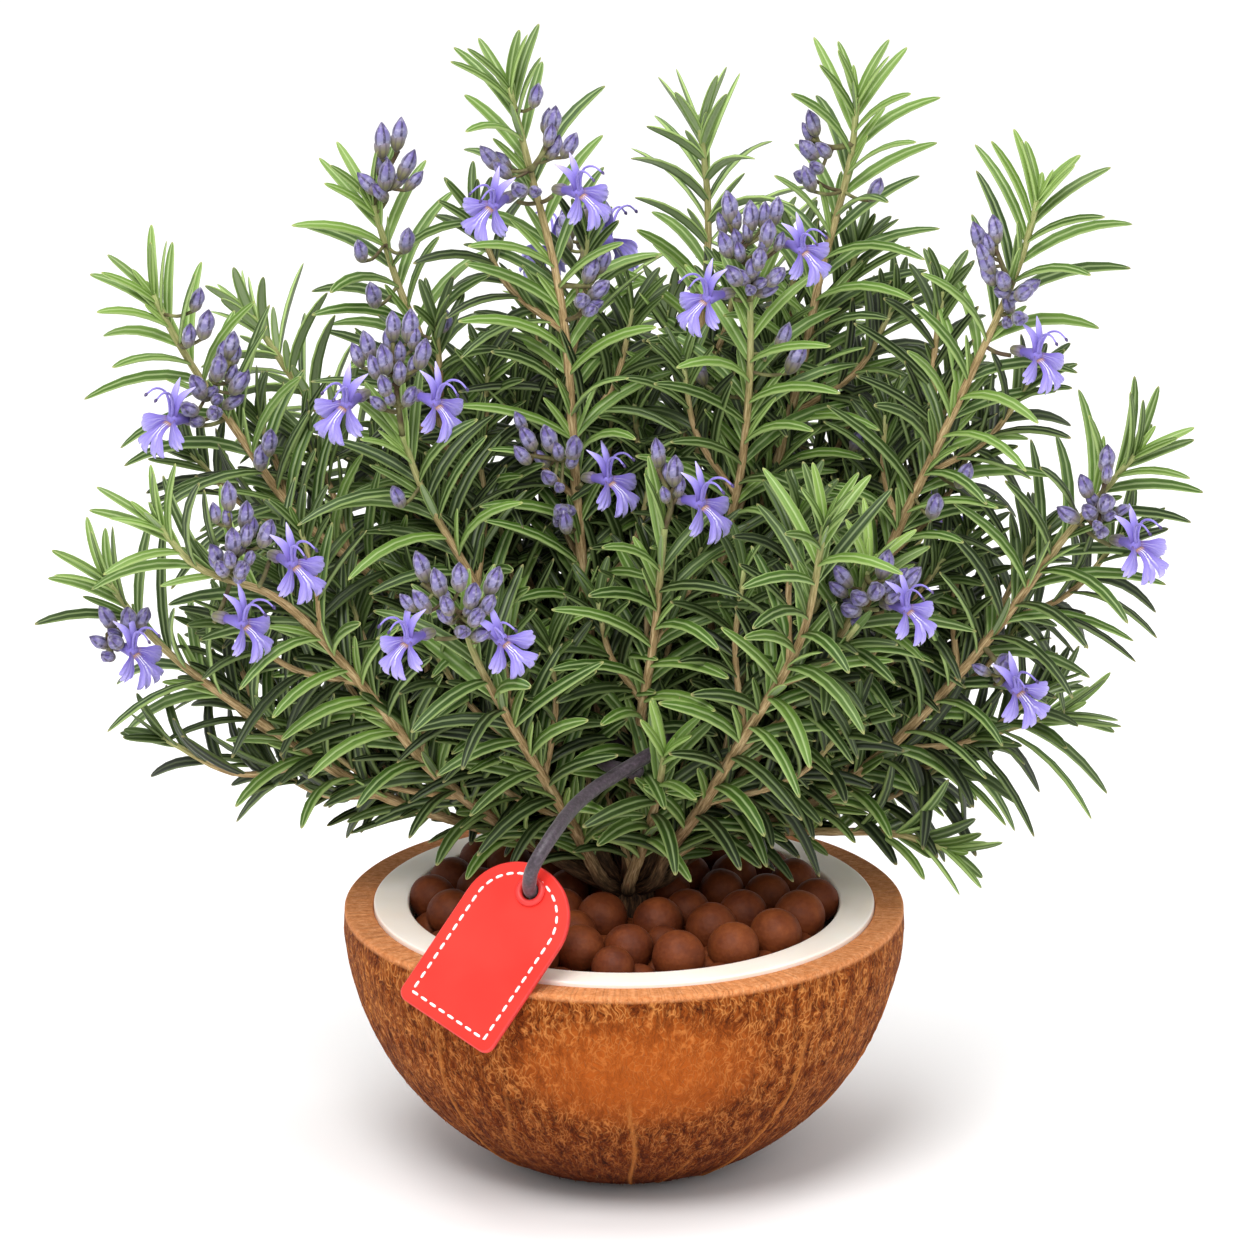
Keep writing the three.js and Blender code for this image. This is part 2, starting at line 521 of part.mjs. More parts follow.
// ---- Flower heads: open flowers and buds on short stalks, given where they
// stand; each head springs from its stem, or ends it where at is 1 ----
const flowerHeads = [
  { name: 'far_left', on: 'far_left', open: [[-118, -3, 128]],
    buds: [[-124, -1, 137], [-122, -4, 132], [-119, -2, 137]] },
  { name: 'left_low', on: 'left_low', open: [[-79, -30, 159], [-91, -30, 144]],
    buds: [[-94, -30, 177], [-90, -29, 172], [-93, -31, 166], [-97, -29, 162], [-91, -31, 159],
      [-85, -31, 168]] },
  { name: 'front_left', on: 'front_left', at: 1, open: [[-51, -46, 145], [-29, -46, 145]],
    buds: [[-48, -44, 164], [-44, -47, 161], [-48, -46, 156], [-39, -49, 163], [-36, -48, 158],
      [-31, -46, 161], [-42, -49, 156], [-35, -49, 153]] },
  { name: 'left_mid', on: 'left_mid', at: 1, open: [[-66, -15, 194], [-45, -20, 196]],
    buds: [[-61, -13, 209], [-57, -17, 207], [-55, -13, 214], [-51, -13, 214], [-48, -16, 208],
      [-57, -19, 201]] },
  { name: 'left_high', on: 'left_high', open: [[-108, 4, 184]],
    buds: [[-102, 6, 193], [-104, 4, 188], [-98, 4, 187], [-92, 6, 194], [-97, 5, 198],
      [-94, 7, 203]] },
  { name: 'upper_left', on: 'upper_left', at: 1, open: [],
    buds: [[-58, 27, 248], [-54, 29, 249], [-52, 27, 242], [-57, 25, 240]] },
  { name: 'tall_left_top', on: 'tall_left', open: [[-11, 0, 242], [-31, 0, 239]],
    buds: [[-17, 3, 260], [-13, 3, 254], [-32, 3, 251], [-25, 0, 244]] },
  { name: 'tall_left_side', on: 'tall_left', open: [],
    buds: [[-8, 0, 224], [-6, 0, 219], [-10, -2, 217]] },
  { name: 'tall_left_low', on: 'tall_left', open: [[-4, -9, 173]],
    buds: [[-23, -7, 184], [-18, -7, 184], [-12, -8, 182], [-18, -9, 175], [-15, -8, 166]] },
  { name: 'centre', on: 'centre', at: 1, open: [[18, -27, 173]],
    buds: [[8, -24, 186], [12, -26, 182]] },
  { name: 'centre_spike', on: 'centre_spike', at: 1, open: [[42, -10, 231], [20, -14, 220]],
    buds: [[25, -8, 242], [30, -9, 240], [24, -12, 234], [36, -8, 241], [34, -13, 237],
      [32, -14, 231], [26, -14, 227], [36, -12, 226]] },
  { name: 'tall_right', on: 'tall_right', open: [],
    buds: [[45, 15, 256], [44, 13, 250], [43, 14, 243]] },
  { name: 'upper_right', on: 'upper_right', open: [[98, -15, 206]],
    buds: [[84, -12, 236], [88, -13, 238], [86, -14, 230], [90, -15, 226], [95, -15, 223],
      [94, -16, 217]] },
  { name: 'right_spike', on: 'right_spike', open: [[67, -28, 147]],
    buds: [[52, -27, 156], [56, -28, 151], [62, -27, 159], [68, -26, 155], [60, -29, 153],
      [54, -28, 148]] },
  { name: 'far_right', on: 'far_right', open: [[122, -13, 158]],
    buds: [[115, -14, 181], [110, -13, 174], [106, -13, 167], [111, -14, 168], [115, -14, 170],
      [114, -14, 163]] },
  { name: 'far_right_low', on: 'far_right', open: [[94, -8, 120]], buds: [[91, -6, 127]] },
  { name: 'back', on: 'back_high', at: 1, open: [[-16, 66, 216], [-2, 68, 220]],
    buds: [[-10, 64, 228], [-14, 66, 224], [-6, 67, 227]] },
  { name: 'back_right', on: 'back_right_low', open: [[76, 74, 136]],
    buds: [[70, 72, 142], [76, 78, 143]] },
];

// A stalk as a thin three-sided rod between two points.
function rod(from, to, radius) {
  const length = from.distanceTo(to);
  const shape = new THREE.CylinderGeometry(radius, radius, length, 3);
  const turn = new THREE.Quaternion().setFromUnitVectors(
    new THREE.Vector3(0, 1, 0), to.clone().sub(from).normalize());
  shape.applyQuaternion(turn);
  shape.translate((from.x + to.x) / 2, (from.y + to.y) / 2, (from.z + to.z) / 2);
  return solid(shape);
}

// An open flower: a short tube that widens into an upper and a lower lip.
function corolla(from, middle) {
  const facing = middle.clone().sub(from).setZ(0).normalize();
  const half = COROLLA_WIDTH / 2;
  const lip = new THREE.Shape();
  lip.moveTo(0, half);
  lip.quadraticCurveTo(half * 0.25, half * 0.3, half * 0.8, half * 0.1);
  lip.lineTo(half * 0.75, -half * 0.35);
  lip.lineTo(half * 0.2, -half * 0.2);
  lip.lineTo(half * 0.45, -half);
  lip.lineTo(-half * 0.45, -half);
  lip.lineTo(-half * 0.2, -half * 0.2);
  lip.lineTo(-half * 0.75, -half * 0.35);
  lip.lineTo(-half * 0.8, half * 0.1);
  const petals = new THREE.ExtrudeGeometry(lip, {
    depth: COROLLA_THICKNESS, bevelEnabled: false, curveSegments: 1 });
  const turn = new THREE.Matrix4().makeBasis(
    new THREE.Vector3(-facing.y, facing.x, 0), new THREE.Vector3(0, 0, 1), facing);
  petals.applyMatrix4(turn);
  petals.translate(middle.x, middle.y, middle.z);
  return solid(petals);
}

// A bud with its stalk: pointed at the knuckle, widest at the bud's middle.
function bud(from, middle) {
  const along = middle.clone().sub(from);
  const reach = along.length();
  const turn = new THREE.Quaternion().setFromUnitVectors(new THREE.Vector3(0, 1, 0), along.normalize());
  const shape = new THREE.OctahedronGeometry(1, 0);
  const position = shape.getAttribute('position');
  for (let i = 0; i < position.count; i++) {
    const y = position.getY(i);
    position.setXYZ(i, position.getX(i) * BUD_RADIUS, y * (y < 0 ? reach + BUD_OVERLAP : BUD_TIP),
      position.getZ(i) * BUD_RADIUS);
  }
  shape.applyQuaternion(turn);
  shape.translate(middle.x, middle.y, middle.z);
  return solid(shape);
}

for (const head of flowerHeads) {
  const stem = stems.find((candidate) => candidate.name === head.on);
  const all = [...head.open, ...head.buds].map(point);
  const middle = all.reduce((sum, p) => sum.add(p), new THREE.Vector3()).divideScalar(all.length);
  const curve = stem.curves[0];
  let best = head.at ?? 0;
  for (let i = 0; i <= 100 && head.at === undefined; i++) {
    const t = i / 100;
    if (curve.getPointAt(t).distanceTo(middle) < curve.getPointAt(best).distanceTo(middle)) best = t;
  }
  const endsStem = head.at === 1;
  const axis = curve.getPointAt(best);
  const away = endsStem ? curve.getTangentAt(1) : middle.clone().sub(axis).normalize();
  const standOff = (endsStem ? 0 : stemRadius(best)) + 2 * GAP;
  const root = axis.clone().addScaledVector(away, standOff);
  const knuckle = root.clone().lerp(middle, endsStem ? KNUCKLE_AT.tip : KNUCKLE_AT.side);
  const node = `flowers_${head.name}`;
  let shape = rod(root, knuckle, STALK_RADIUS.shared);
  place(node, root, knuckle, STALK_RADIUS.shared);
  for (const p of head.open.map(point)) {
    shape = shape.add(rod(knuckle, p, STALK_RADIUS.flower)).add(corolla(knuckle, p));
    place(node, knuckle, p, STALK_RADIUS.flower);
    place(node, p, p, COROLLA_WIDTH * 0.45);
  }
  for (const p of head.buds.map(point)) {
    shape = shape.add(bud(knuckle, p));
    place(node, knuckle, p, PEDICEL_RADIUS);
    place(node, p, p, BUD_RADIUS * 1.4);
  }
  addPiece(node, shape, materials.flower);
}

// ---- Leaves: crossed pairs along each stem, with a tuft at the tip; a leaf
// that would touch another piece is shorter, or isn't there ----
function leafCurve(root, direction, length, droop) {
  const bend = direction.clone().multiplyScalar(length * 0.5).add(root);
  const tip = direction.clone().multiplyScalar(length).add(root);
  tip.z += droop * length;
  return new THREE.QuadraticBezierCurve3(root, bend, tip);
}

function leafShape(curve) {
  const blade = new THREE.OctahedronGeometry(0.5, 0);
  blade.translate(0, 0.5, 0);
  return bendAlong(blade, curve, () => [LEAF_WIDTH, LEAF_THICKNESS], new THREE.Vector3(0.02, 0.03, 1));
}

function growLeaf(node, root, direction, length, droop) {
  for (const share of SHORTER_LEAVES) {
    const curve = leafCurve(root, direction, length * share, droop);
    const middle = curve.getPointAt(0.5);
    const tip = curve.getPointAt(1);
    if (isClear(node, root, middle, LEAF_WIDTH * 0.5) && isClear(node, middle, tip, LEAF_WIDTH * 0.5)) {
      place(node, root, middle, LEAF_WIDTH * 0.5);
      place(node, middle, tip, LEAF_WIDTH * 0.5);
      return solid(leafShape(curve));
    }
  }
  return null;
}

for (const stem of stems) {
  let shape = null;
  stem.curves.forEach((curve, which) => {
    const tube = solid(stemShape(curve));
    shape = shape ? shape.add(tube) : tube;
    const steps = stemSteps(curve);
    for (let i = which === 0 ? 1 : 0; i <= steps; i++) {
      const t = Math.min(LEAF_LAST, i / steps);
      if (which === 0 && t * curve.getLength() < LEAF_BARE) continue;
      const tangent = curve.getTangentAt(t);
      const across = new THREE.Vector3(0.3, 1, 0.2).cross(tangent).normalize();
      across.applyAxisAngle(tangent, (i % 2) * (Math.PI / 2) + LEAF_TURN);
      const spread = THREE.MathUtils.lerp(LEAF_SPREAD.base, LEAF_SPREAD.tip, t ** 3);
      for (const side of [1, -1]) {
        const direction = tangent.clone().multiplyScalar(Math.cos(spread))
          .addScaledVector(across, side * Math.sin(spread));
        const leaf = growLeaf(stem.node, curve.getPointAt(t), direction,
          LEAF_LENGTH * (t > 0.9 ? 0.8 : 1), t > 0.8 ? 0.05 : -0.1);
        if (leaf) shape = shape.add(leaf);
      }
    }
  });
  addPiece(stem.node, shape, materials.leaf);
}

export default group;
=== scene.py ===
import math

import bpy
import numpy as np
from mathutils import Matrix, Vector, noise

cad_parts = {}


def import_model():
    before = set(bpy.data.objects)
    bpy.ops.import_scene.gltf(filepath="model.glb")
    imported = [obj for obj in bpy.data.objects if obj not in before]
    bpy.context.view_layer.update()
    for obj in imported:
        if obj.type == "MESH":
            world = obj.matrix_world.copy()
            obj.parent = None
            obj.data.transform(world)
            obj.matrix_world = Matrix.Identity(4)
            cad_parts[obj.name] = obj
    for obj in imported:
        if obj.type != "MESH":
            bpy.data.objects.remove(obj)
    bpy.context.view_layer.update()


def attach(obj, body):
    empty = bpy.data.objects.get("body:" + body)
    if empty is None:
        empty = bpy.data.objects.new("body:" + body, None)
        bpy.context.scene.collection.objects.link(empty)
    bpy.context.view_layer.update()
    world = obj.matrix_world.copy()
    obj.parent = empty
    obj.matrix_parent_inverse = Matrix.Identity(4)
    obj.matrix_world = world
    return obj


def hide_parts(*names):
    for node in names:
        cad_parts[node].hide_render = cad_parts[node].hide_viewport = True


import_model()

# ---- Camera and studio ----
# The view is from the front, a little above the rim, through a long lens. The
# studio is a pale floor under a white dome, with a large soft light on either
# side of the camera, the left one stronger, and a broad one overhead.
MM = 0.001
VIEW_TILT = math.radians(18.4)
VIEW_DISTANCE = 4.0
VIEW_WIDTH = 0.301  # metres across the frame at the plant
VIEW_AIM = Vector((0.0007, 0.0, 0.1344))
SENSOR_WIDTH = 36.0
DOME_STRENGTH = 0.72
FLOOR_WIDTH = 8.0

camera_data = bpy.data.cameras.new("camera")
camera_data.sensor_width = SENSOR_WIDTH
camera_data.lens = SENSOR_WIDTH * VIEW_DISTANCE / VIEW_WIDTH
camera = bpy.data.objects.new("camera", camera_data)
camera.location = VIEW_AIM + VIEW_DISTANCE * Vector(
    (0, -math.cos(VIEW_TILT), math.sin(VIEW_TILT)))
camera.rotation_euler = (math.pi / 2 - VIEW_TILT, 0, 0)
bpy.context.collection.objects.link(camera)
bpy.context.scene.camera = camera
bpy.context.scene.view_settings.view_transform = "Standard"


def linear(code):
    """An sRGB hex colour as linear red, green, blue and alpha."""
    values = [int(code[i : i + 2], 16) / 255 for i in (1, 3, 5)]
    lit = [v / 12.92 if v <= 0.04045 else ((v + 0.055) / 1.055) ** 2.4 for v in values]
    return (*lit, 1.0)


def first_output(source):
    """The socket itself, or a node's first output in use."""
    if isinstance(source, bpy.types.NodeSocket):
        return source
    return next(output for output in source.outputs if output.enabled)


def add_node(tree, kind, settings, links=None):
    """Adds a node. A setting is an attribute, a socket's value or a ramp's stops.

    A link comes from a socket, or from a node by its first output in use.
    """
    node = tree.nodes.new(kind)
    for key, value in settings.items():
        if key == "stops":
            elements = node.color_ramp.elements
            while len(elements) < len(value):
                elements.new(0.5)
            for element, (position, colour) in zip(elements, value):
                element.position = position
                element.color = linear(colour)
        elif isinstance(key, str) and hasattr(node, key):
            setattr(node, key, value)
        else:
            node.inputs[key].default_value = value
    for key, source in (links or {}).items():
        tree.links.new(first_output(source), node.inputs[key])
    return node


def new_material(name, settings):
    """A material with its shader's constant values set. Returns it, its tree and its shader."""
    material = bpy.data.materials.new(name)
    material.use_nodes = True
    shader = material.node_tree.nodes["Principled BSDF"]
    for socket, value in settings.items():
        shader.inputs[socket].default_value = value
    return material, material.node_tree, shader


def colour_skin(shader, colour, relief=None):
    """Joins a material's colour, and its relief if it has one, to its shader."""
    links = shader.id_data.links
    links.new(first_output(colour), shader.inputs["Base Color"])
    if relief:
        links.new(first_output(relief), shader.inputs["Normal"])


world = bpy.data.worlds.new("white_dome")
world.use_nodes = True
background = world.node_tree.nodes["Background"]
background.inputs["Color"].default_value = linear("#ffffff")
background.inputs["Strength"].default_value = DOME_STRENGTH
bpy.context.scene.world = world

studio_lights = [
    # name, place, width, watts
    ("key_light", (-0.26, -1.0, 1.4), 0.8, 17.5),
    ("fill_light", (0.5, -1.2, 0.75), 0.9, 2.2),
    ("top_light", (0.0, 0.05, 1.4), 1.2, 12.0),
]
for name, place, width, watts in studio_lights:
    light_data = bpy.data.lights.new(name, "AREA")
    light_data.shape = "DISK"
    light_data.size = width
    light_data.energy = watts
    light = bpy.data.objects.new(name, light_data)
    light.location = place
    light.rotation_euler = (VIEW_AIM - Vector(place)).to_track_quat("-Z", "Y").to_euler()
    bpy.context.collection.objects.link(light)

# Matt white paint: without gloss, so that the floor shows only a soft shadow.
floor_paint, *_ = new_material("pale_floor", {
    "Base Color": linear("#fbfafa"), "Roughness": 0.9, "Specular IOR Level": 0.1})
bpy.ops.mesh.primitive_plane_add(size=FLOOR_WIDTH, location=(0, 0, 0))
floor = bpy.context.object
floor.name = "floor"
floor.data.materials.append(floor_paint)

# ---- Tag cord ----
# A limp round cord of dark purple-grey waxed yarn, 3.4 mm thick. It hangs in a
# loose loop round the centre stem and runs down through the tag's eyelet, where a
# stopper knot behind the tag holds it. All places and sizes are in mm.
RIM_RADIUS = 67.5
RIM_HEIGHT = 64.0
TAG_LEAN = math.radians(30)
TAG_TURN = math.radians(25)
TAG_RIM_X = -24.0  # where the tag's back leans on the rim
RIM_GAP = 0.3
TAG_MIDDLE = -11.8
TAG_BOTTOM = -17.5
TAG_WIDTH, TAG_LENGTH, TAG_THICKNESS = 28.0, 44.5, 1.8
HOLE_BELOW_TOP = 6.2
HOLE_UP = TAG_BOTTOM + TAG_LENGTH - HOLE_BELOW_TOP
CORD_DIAMETER = 3.4
CORD_STEPS = 150


def unit(v):
    """Vectors brought to length 1."""
    v = np.asarray(v, float)
    return v / np.maximum(np.linalg.norm(v, axis=-1, keepdims=True), 1e-12)


outward = unit([TAG_RIM_X, -math.sqrt(RIM_RADIUS**2 - TAG_RIM_X**2), 0])
along_rim = np.array([-outward[1], outward[0], 0])
up_tag = np.array([0, 0, math.cos(TAG_LEAN)]) - outward * math.sin(TAG_LEAN)
tag_face = outward * math.cos(TAG_LEAN) + np.array([0, 0, math.sin(TAG_LEAN)])
tag_across = along_rim * math.cos(TAG_TURN) - up_tag * math.sin(TAG_TURN)
tag_up = up_tag * math.cos(TAG_TURN) + along_rim * math.sin(TAG_TURN)
tag_origin = outward * RIM_RADIUS + np.array([0, 0, RIM_HEIGHT]) + RIM_GAP * tag_face


def on_tag(across, up, out):
    """Points given across the tag, up it and out of its back face, in mm."""
    across, up, out = (np.asarray(v, float)[..., None] for v in (across, up, out))
    return tag_origin + across * tag_across + up * tag_up + out * tag_face


# The cord's middle line, from its end at the hitch, round the stem and down to the tag.
cord_route = np.array([
    [1.6, -19.6, 104.4], [-1, -18, 104.5], [-3.4, -16, 104.6], [-5.1, -13.6, 104.9],
    [-6, -10.6, 105.1], [-5.7, -7.6, 105.5], [-4.5, -4.9, 105.9], [-2.3, -2.7, 106.4],
    [0.4, -1.5, 106.9], [3.4, -1.2, 107.5], [6.3, -2, 108], [8.7, -3.7, 108.4],
    [10.4, -6.2, 108.8], [11.2, -9.2, 109], [10.9, -12.2, 109.1], [9.6, -15, 109],
    [7.7, -17.4, 108.8], [5.6, -19.6, 108.4], [3.5, -21.7, 107.8], [1.3, -23.8, 107.1],
    [-0.9, -25.8, 106.4], [-3.1, -27.8, 105.6], [-5.3, -29.8, 104.9], [-7.3, -32, 104.1],
    [-9.2, -34.3, 103.3], [-10.8, -36.8, 102.6], [-12.2, -39.5, 102.1], [-13.3, -42.3, 101.6],
    [-14.4, -45.1, 101.2], [-15.4, -48, 100.6], [-16.6, -50.7, 99.8], [-17.9, -53.2, 98.6],
    [-19.4, -55.2, 96.8], [-20.9, -56.4, 94.5], [-22.1, -56.4, 91.7], [-22.5, -55.4, 88.8],
    [-22.4, -53.8, 86.5], on_tag(TAG_MIDDLE, HOLE_UP, -0.5),
])


def run_along(path):
    """How far along a path each of its points lies."""
    return np.concatenate([[0], np.cumsum(np.linalg.norm(np.diff(path, axis=0), axis=1))])


def points_at(places, run, path):
    """The points at some places along a path, given where its own points lie."""
    return np.stack([np.interp(places, run, path[:, k]) for k in range(3)], -1)


def smooth_path(points, count):
    """A centripetal Catmull-Rom curve through the points, as evenly spaced points."""
    points = np.asarray(points, float)
    first = 2 * points[0] - points[1]
    last = 2 * points[-1] - points[-2]
    p = np.vstack([first, points, last])
    knots = np.concatenate([[0], np.cumsum(np.linalg.norm(np.diff(p, axis=0), axis=1) ** 0.5)])
    out = []
    for i in range(1, len(p) - 2):
        t0, t1, t2, t3 = knots[i - 1 : i + 3]
        t = np.linspace(t1, t2, 24, endpoint=False)[:, None]
        a1 = (t1 - t) / (t1 - t0) * p[i - 1] + (t - t0) / (t1 - t0) * p[i]
        a2 = (t2 - t) / (t2 - t1) * p[i] + (t - t1) / (t2 - t1) * p[i + 1]
        a3 = (t3 - t) / (t3 - t2) * p[i + 1] + (t - t2) / (t3 - t2) * p[i + 2]
        b1 = (t2 - t) / (t2 - t0) * a1 + (t - t0) / (t2 - t0) * a2
        b2 = (t3 - t) / (t3 - t1) * a2 + (t - t1) / (t3 - t1) * a3
        out.append((t2 - t) / (t2 - t1) * b1 + (t - t1) / (t2 - t1) * b2)
    dense = np.vstack([*out, points[-1:]])
    run = run_along(dense)
    return points_at(np.linspace(0, run[-1], count), run, dense)


def mottled_skin(name, settings, scale, detail, stops, bump=None):
    """A material with one noise, in grains to the metre, for its tint.

    Given a bump's strength and depth, the noise makes its relief as well.
    """
    material, tree, shader = new_material(name, settings)
    object_place = add_node(tree, "ShaderNodeTexCoord", {}).outputs["Object"]
    grain = add_node(tree, "ShaderNodeTexNoise", {"Scale": scale, "Detail": detail},
                     {"Vector": object_place})
    tint = add_node(tree, "ShaderNodeValToRGB", {"stops": stops}, {"Fac": grain})
    relief = bump and add_node(
        tree, "ShaderNodeBump", {"Strength": bump[0], "Distance": bump[1]}, {"Height": grain})
    colour_skin(shader, tint, relief)
    return material


# Waxed cotton yarn, twisted hard: nearly black purple with a dull shine, and a
# grain of 0.7 mm where its strands cross.
cord_yarn = mottled_skin(
    "waxed_cord_yarn", {"Roughness": 0.46, "Sheen Weight": 0.2}, 1400.0, 3.0,
    [(0.35, "#2d232b"), (0.55, "#41353f"), (0.75, "#564854")], bump=(0.35, 0.0002))

cord_points = smooth_path(cord_route, CORD_STEPS)
cord_curve = bpy.data.curves.new("tag_cord_yarn", "CURVE")
cord_curve.dimensions = "3D"
cord_curve.bevel_depth = CORD_DIAMETER / 2 * MM
cord_curve.bevel_resolution = 5
cord_curve.use_fill_caps = True
spline = cord_curve.splines.new("POLY")
spline.points.add(CORD_STEPS - 1)
spline.points.foreach_set(
    "co", np.hstack([cord_points * MM, np.ones((CORD_STEPS, 1))]).ravel())
cord_curve.materials.append(cord_yarn)
tag_cord = bpy.data.objects.new("tag_cord_yarn", cord_curve)
bpy.context.collection.objects.link(tag_cord)
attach(tag_cord, "root")
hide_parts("tag_cord")


def sweep(paths, across, section, widths, heights=None, marks=None):
    """Closed solids: a section carried along n paths of r points, all in mm.

    The section's first column lies along across, its second square to it. Each
    solid gets the marks of its section, its place along the path and any other.
    """
    paths = np.asarray(paths, float)
    n, r, _ = paths.shape
    k = len(section)
    widths = np.broadcast_to(widths, (n, r))
    heights = widths if heights is None else np.broadcast_to(heights, (n, r))
    tangents = unit(np.gradient(paths, axis=1))
    across = np.broadcast_to(across, (n, r, 3))
    side = unit(across - (across * tangents).sum(-1, keepdims=True) * tangents)
    out = np.cross(side, tangents)
    points = (
        paths[:, :, None]
        + side[:, :, None] * (section[:, 0] * widths[..., None])[..., None]
        + out[:, :, None] * (section[:, 1] * heights[..., None])[..., None]
    )
    index = np.arange(n * r * k).reshape(n, r, k)
    following = np.roll(index, -1, axis=2)
    walls = np.stack([index[:, :-1], following[:, :-1], following[:, 1:], index[:, 1:]], -1)
    fan = np.arange(1, k - 1)
    first, last = index[:, 0], index[:, -1]
    first = np.stack([first[:, [0]].repeat(k - 2, 1), first[:, fan + 1], first[:, fan]], -1)
    last = np.stack([last[:, [0]].repeat(k - 2, 1), last[:, fan], last[:, fan + 1]], -1)
    turn = section[:, 0] * np.roll(section[:, 1], -1) - np.roll(section[:, 0], -1) * section[:, 1]
    faces = [walls.reshape(-1, 4), first.reshape(-1, 3), last.reshape(-1, 3)]
    if turn.sum() > 0:
        faces = [f[:, ::-1] for f in faces]
    out_marks = {
        "along": np.broadcast_to(np.linspace(0, 1, r)[None, :, None], (n, r, k)).ravel(),
        "across": np.broadcast_to(section[:, 0], (n, r, k)).ravel(),
    }
    for name, values in (marks or {}).items():
        values = np.asarray(values, float)
        shape = (n, 1, 1) if values.ndim == 1 and len(values) == n else (1, 1, -1)
        out_marks[name] = np.broadcast_to(values.reshape(shape), (n, r, k)).ravel()
    return points.reshape(-1, 3), faces, out_marks


def build_piece(name, solids, flat=()):
    """One object out of (points, faces, marks, material) solids, given in mm.

    A solid's material may be a list, with one for each of its arrays of faces.
    """
    solids = [(points, faces, marks, skin if isinstance(skin, list) else [skin] * len(faces))
              for points, faces, marks, skin in solids]
    materials = list(dict.fromkeys(skin for solid in solids for skin in solid[3]))
    names = sorted({key for solid in solids for key in solid[2]})
    offset, loops, sizes, slots = 0, [], [], []
    for points, faces, _, skins in solids:
        for f, skin in zip(faces, skins):
            loops.append((f + offset).ravel())
            sizes.append(np.full(len(f), f.shape[1]))
            slots.append(np.full(len(f), materials.index(skin)))
        offset += len(points)
    loops, sizes, slots = (np.concatenate(v).astype(np.int32) for v in (loops, sizes, slots))
    mesh = bpy.data.meshes.new(name)
    mesh.vertices.add(offset)
    mesh.vertices.foreach_set("co", (np.vstack([solid[0] for solid in solids]) * MM).ravel())
    mesh.loops.add(len(loops))
    mesh.loops.foreach_set("vertex_index", loops)
    mesh.polygons.add(len(sizes))
    starts = np.concatenate([[0], np.cumsum(sizes)[:-1]]).astype(np.int32)
    mesh.polygons.foreach_set("loop_start", starts)
    mesh.polygons.foreach_set("material_index", slots)
    rounded = ~np.isin(slots, [materials.index(m) for m in flat])
    mesh.polygons.foreach_set("use_smooth", rounded)
    for key in names:
        values = [np.asarray(marks.get(key, np.zeros(len(points))), float)
                  for points, _, marks, _ in solids]
        attribute = mesh.attributes.new(key, "FLOAT", "POINT")
        attribute.data.foreach_set("value", np.concatenate(values))
    for material in materials:
        mesh.materials.append(material)
    mesh.update(calc_edges=True)
    piece = bpy.data.objects.new(name, mesh)
    bpy.context.collection.objects.link(piece)
    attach(piece, "root")
    return piece


def ring_section(sides):
    """A round section of radius 1, as points."""
    angles = np.arange(sides) / sides * 2 * math.pi
    return np.stack([np.cos(angles), np.sin(angles)], 1)


# The stopper knot: a figure of three crossing turns, pulled tight.
KNOT_CROSSING, KNOT_HEIGHT = 1.55, 1.1
KNOT_SPREAD, KNOT_DEPTH, KNOT_BEHIND, KNOT_STRAND = 0.72, 0.8, 3.55, 1.25
knot_turn = np.linspace(0, 2 * math.pi, 61)
knot_x = np.sin(knot_turn) + KNOT_CROSSING * np.sin(2 * knot_turn)
knot_y = np.cos(knot_turn) - KNOT_CROSSING * np.cos(2 * knot_turn)
knot_z = -KNOT_HEIGHT * np.sin(3 * knot_turn)
knot_line = on_tag(TAG_MIDDLE + KNOT_SPREAD * knot_x, HOLE_UP + KNOT_SPREAD * knot_y,
                   -KNOT_BEHIND + KNOT_DEPTH * knot_z)
knot_solid = sweep(knot_line[None], tag_face, ring_section(12), KNOT_STRAND)
stopper_knot = build_piece("stopper_knot", [(*knot_solid, cord_yarn)])
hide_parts("cord_knot")

# The hitch that closes the loop: the same figure, where the cord's end meets its
# other strand.
HITCH_SPREAD, HITCH_STRAND = 0.66, 1.2
HITCH_PLACE, HITCH_OUT = (2.2, -20.9, 105.9), (0.5, -0.66, 0.56)
hitch_frame = np.array([(0.7, 0.66, 0.2), (-0.5, 0.3, 0.81), HITCH_OUT])
hitch_line = np.stack([HITCH_SPREAD * knot_x, HITCH_SPREAD * knot_y, KNOT_DEPTH * knot_z], 1)
hitch_line = hitch_line @ hitch_frame + HITCH_PLACE
hitch_solid = sweep(hitch_line[None], HITCH_OUT, ring_section(12), HITCH_STRAND)
cord_hitch = build_piece("cord_hitch", [(*hitch_solid, cord_yarn)])

# ---- Swing tag ----
# A tag of smooth red leather board, 28 by 44.5 mm, with a round top and one row
# of white running stitches inside its edge. It leans on the rim of the bowl.
TAG_CORNER = 2.6
EDGE_ROUND = 0.35
CORNER_STEPS = 8
HOLE_RADIUS = 3.0

# Leather board, rolled smooth and dyed through: an even bright red with soft
# clouds 17 mm apart and a grain of 0.6 mm that only dulls its shine.
tag_leather, tree, shader = new_material("smooth_red_leather_board", {
    "Roughness": 0.55, "Specular IOR Level": 0.14})
object_place = add_node(tree, "ShaderNodeTexCoord", {}).outputs["Object"]
grain = add_node(tree, "ShaderNodeTexNoise", {"Scale": 1600.0, "Detail": 3.0},
                 {"Vector": object_place})
clouds = add_node(tree, "ShaderNodeTexNoise", {"Scale": 60.0, "Detail": 2.0},
                  {"Vector": object_place})
tag_tint = add_node(tree, "ShaderNodeValToRGB", {"stops": [(0.3, "#e92f27"), (0.7, "#f43a31")]},
                    {"Fac": clouds})
tag_relief = add_node(tree, "ShaderNodeBump", {"Strength": 0.12, "Distance": 0.0001},
                      {"Height": grain})
colour_skin(shader, tag_tint, tag_relief)
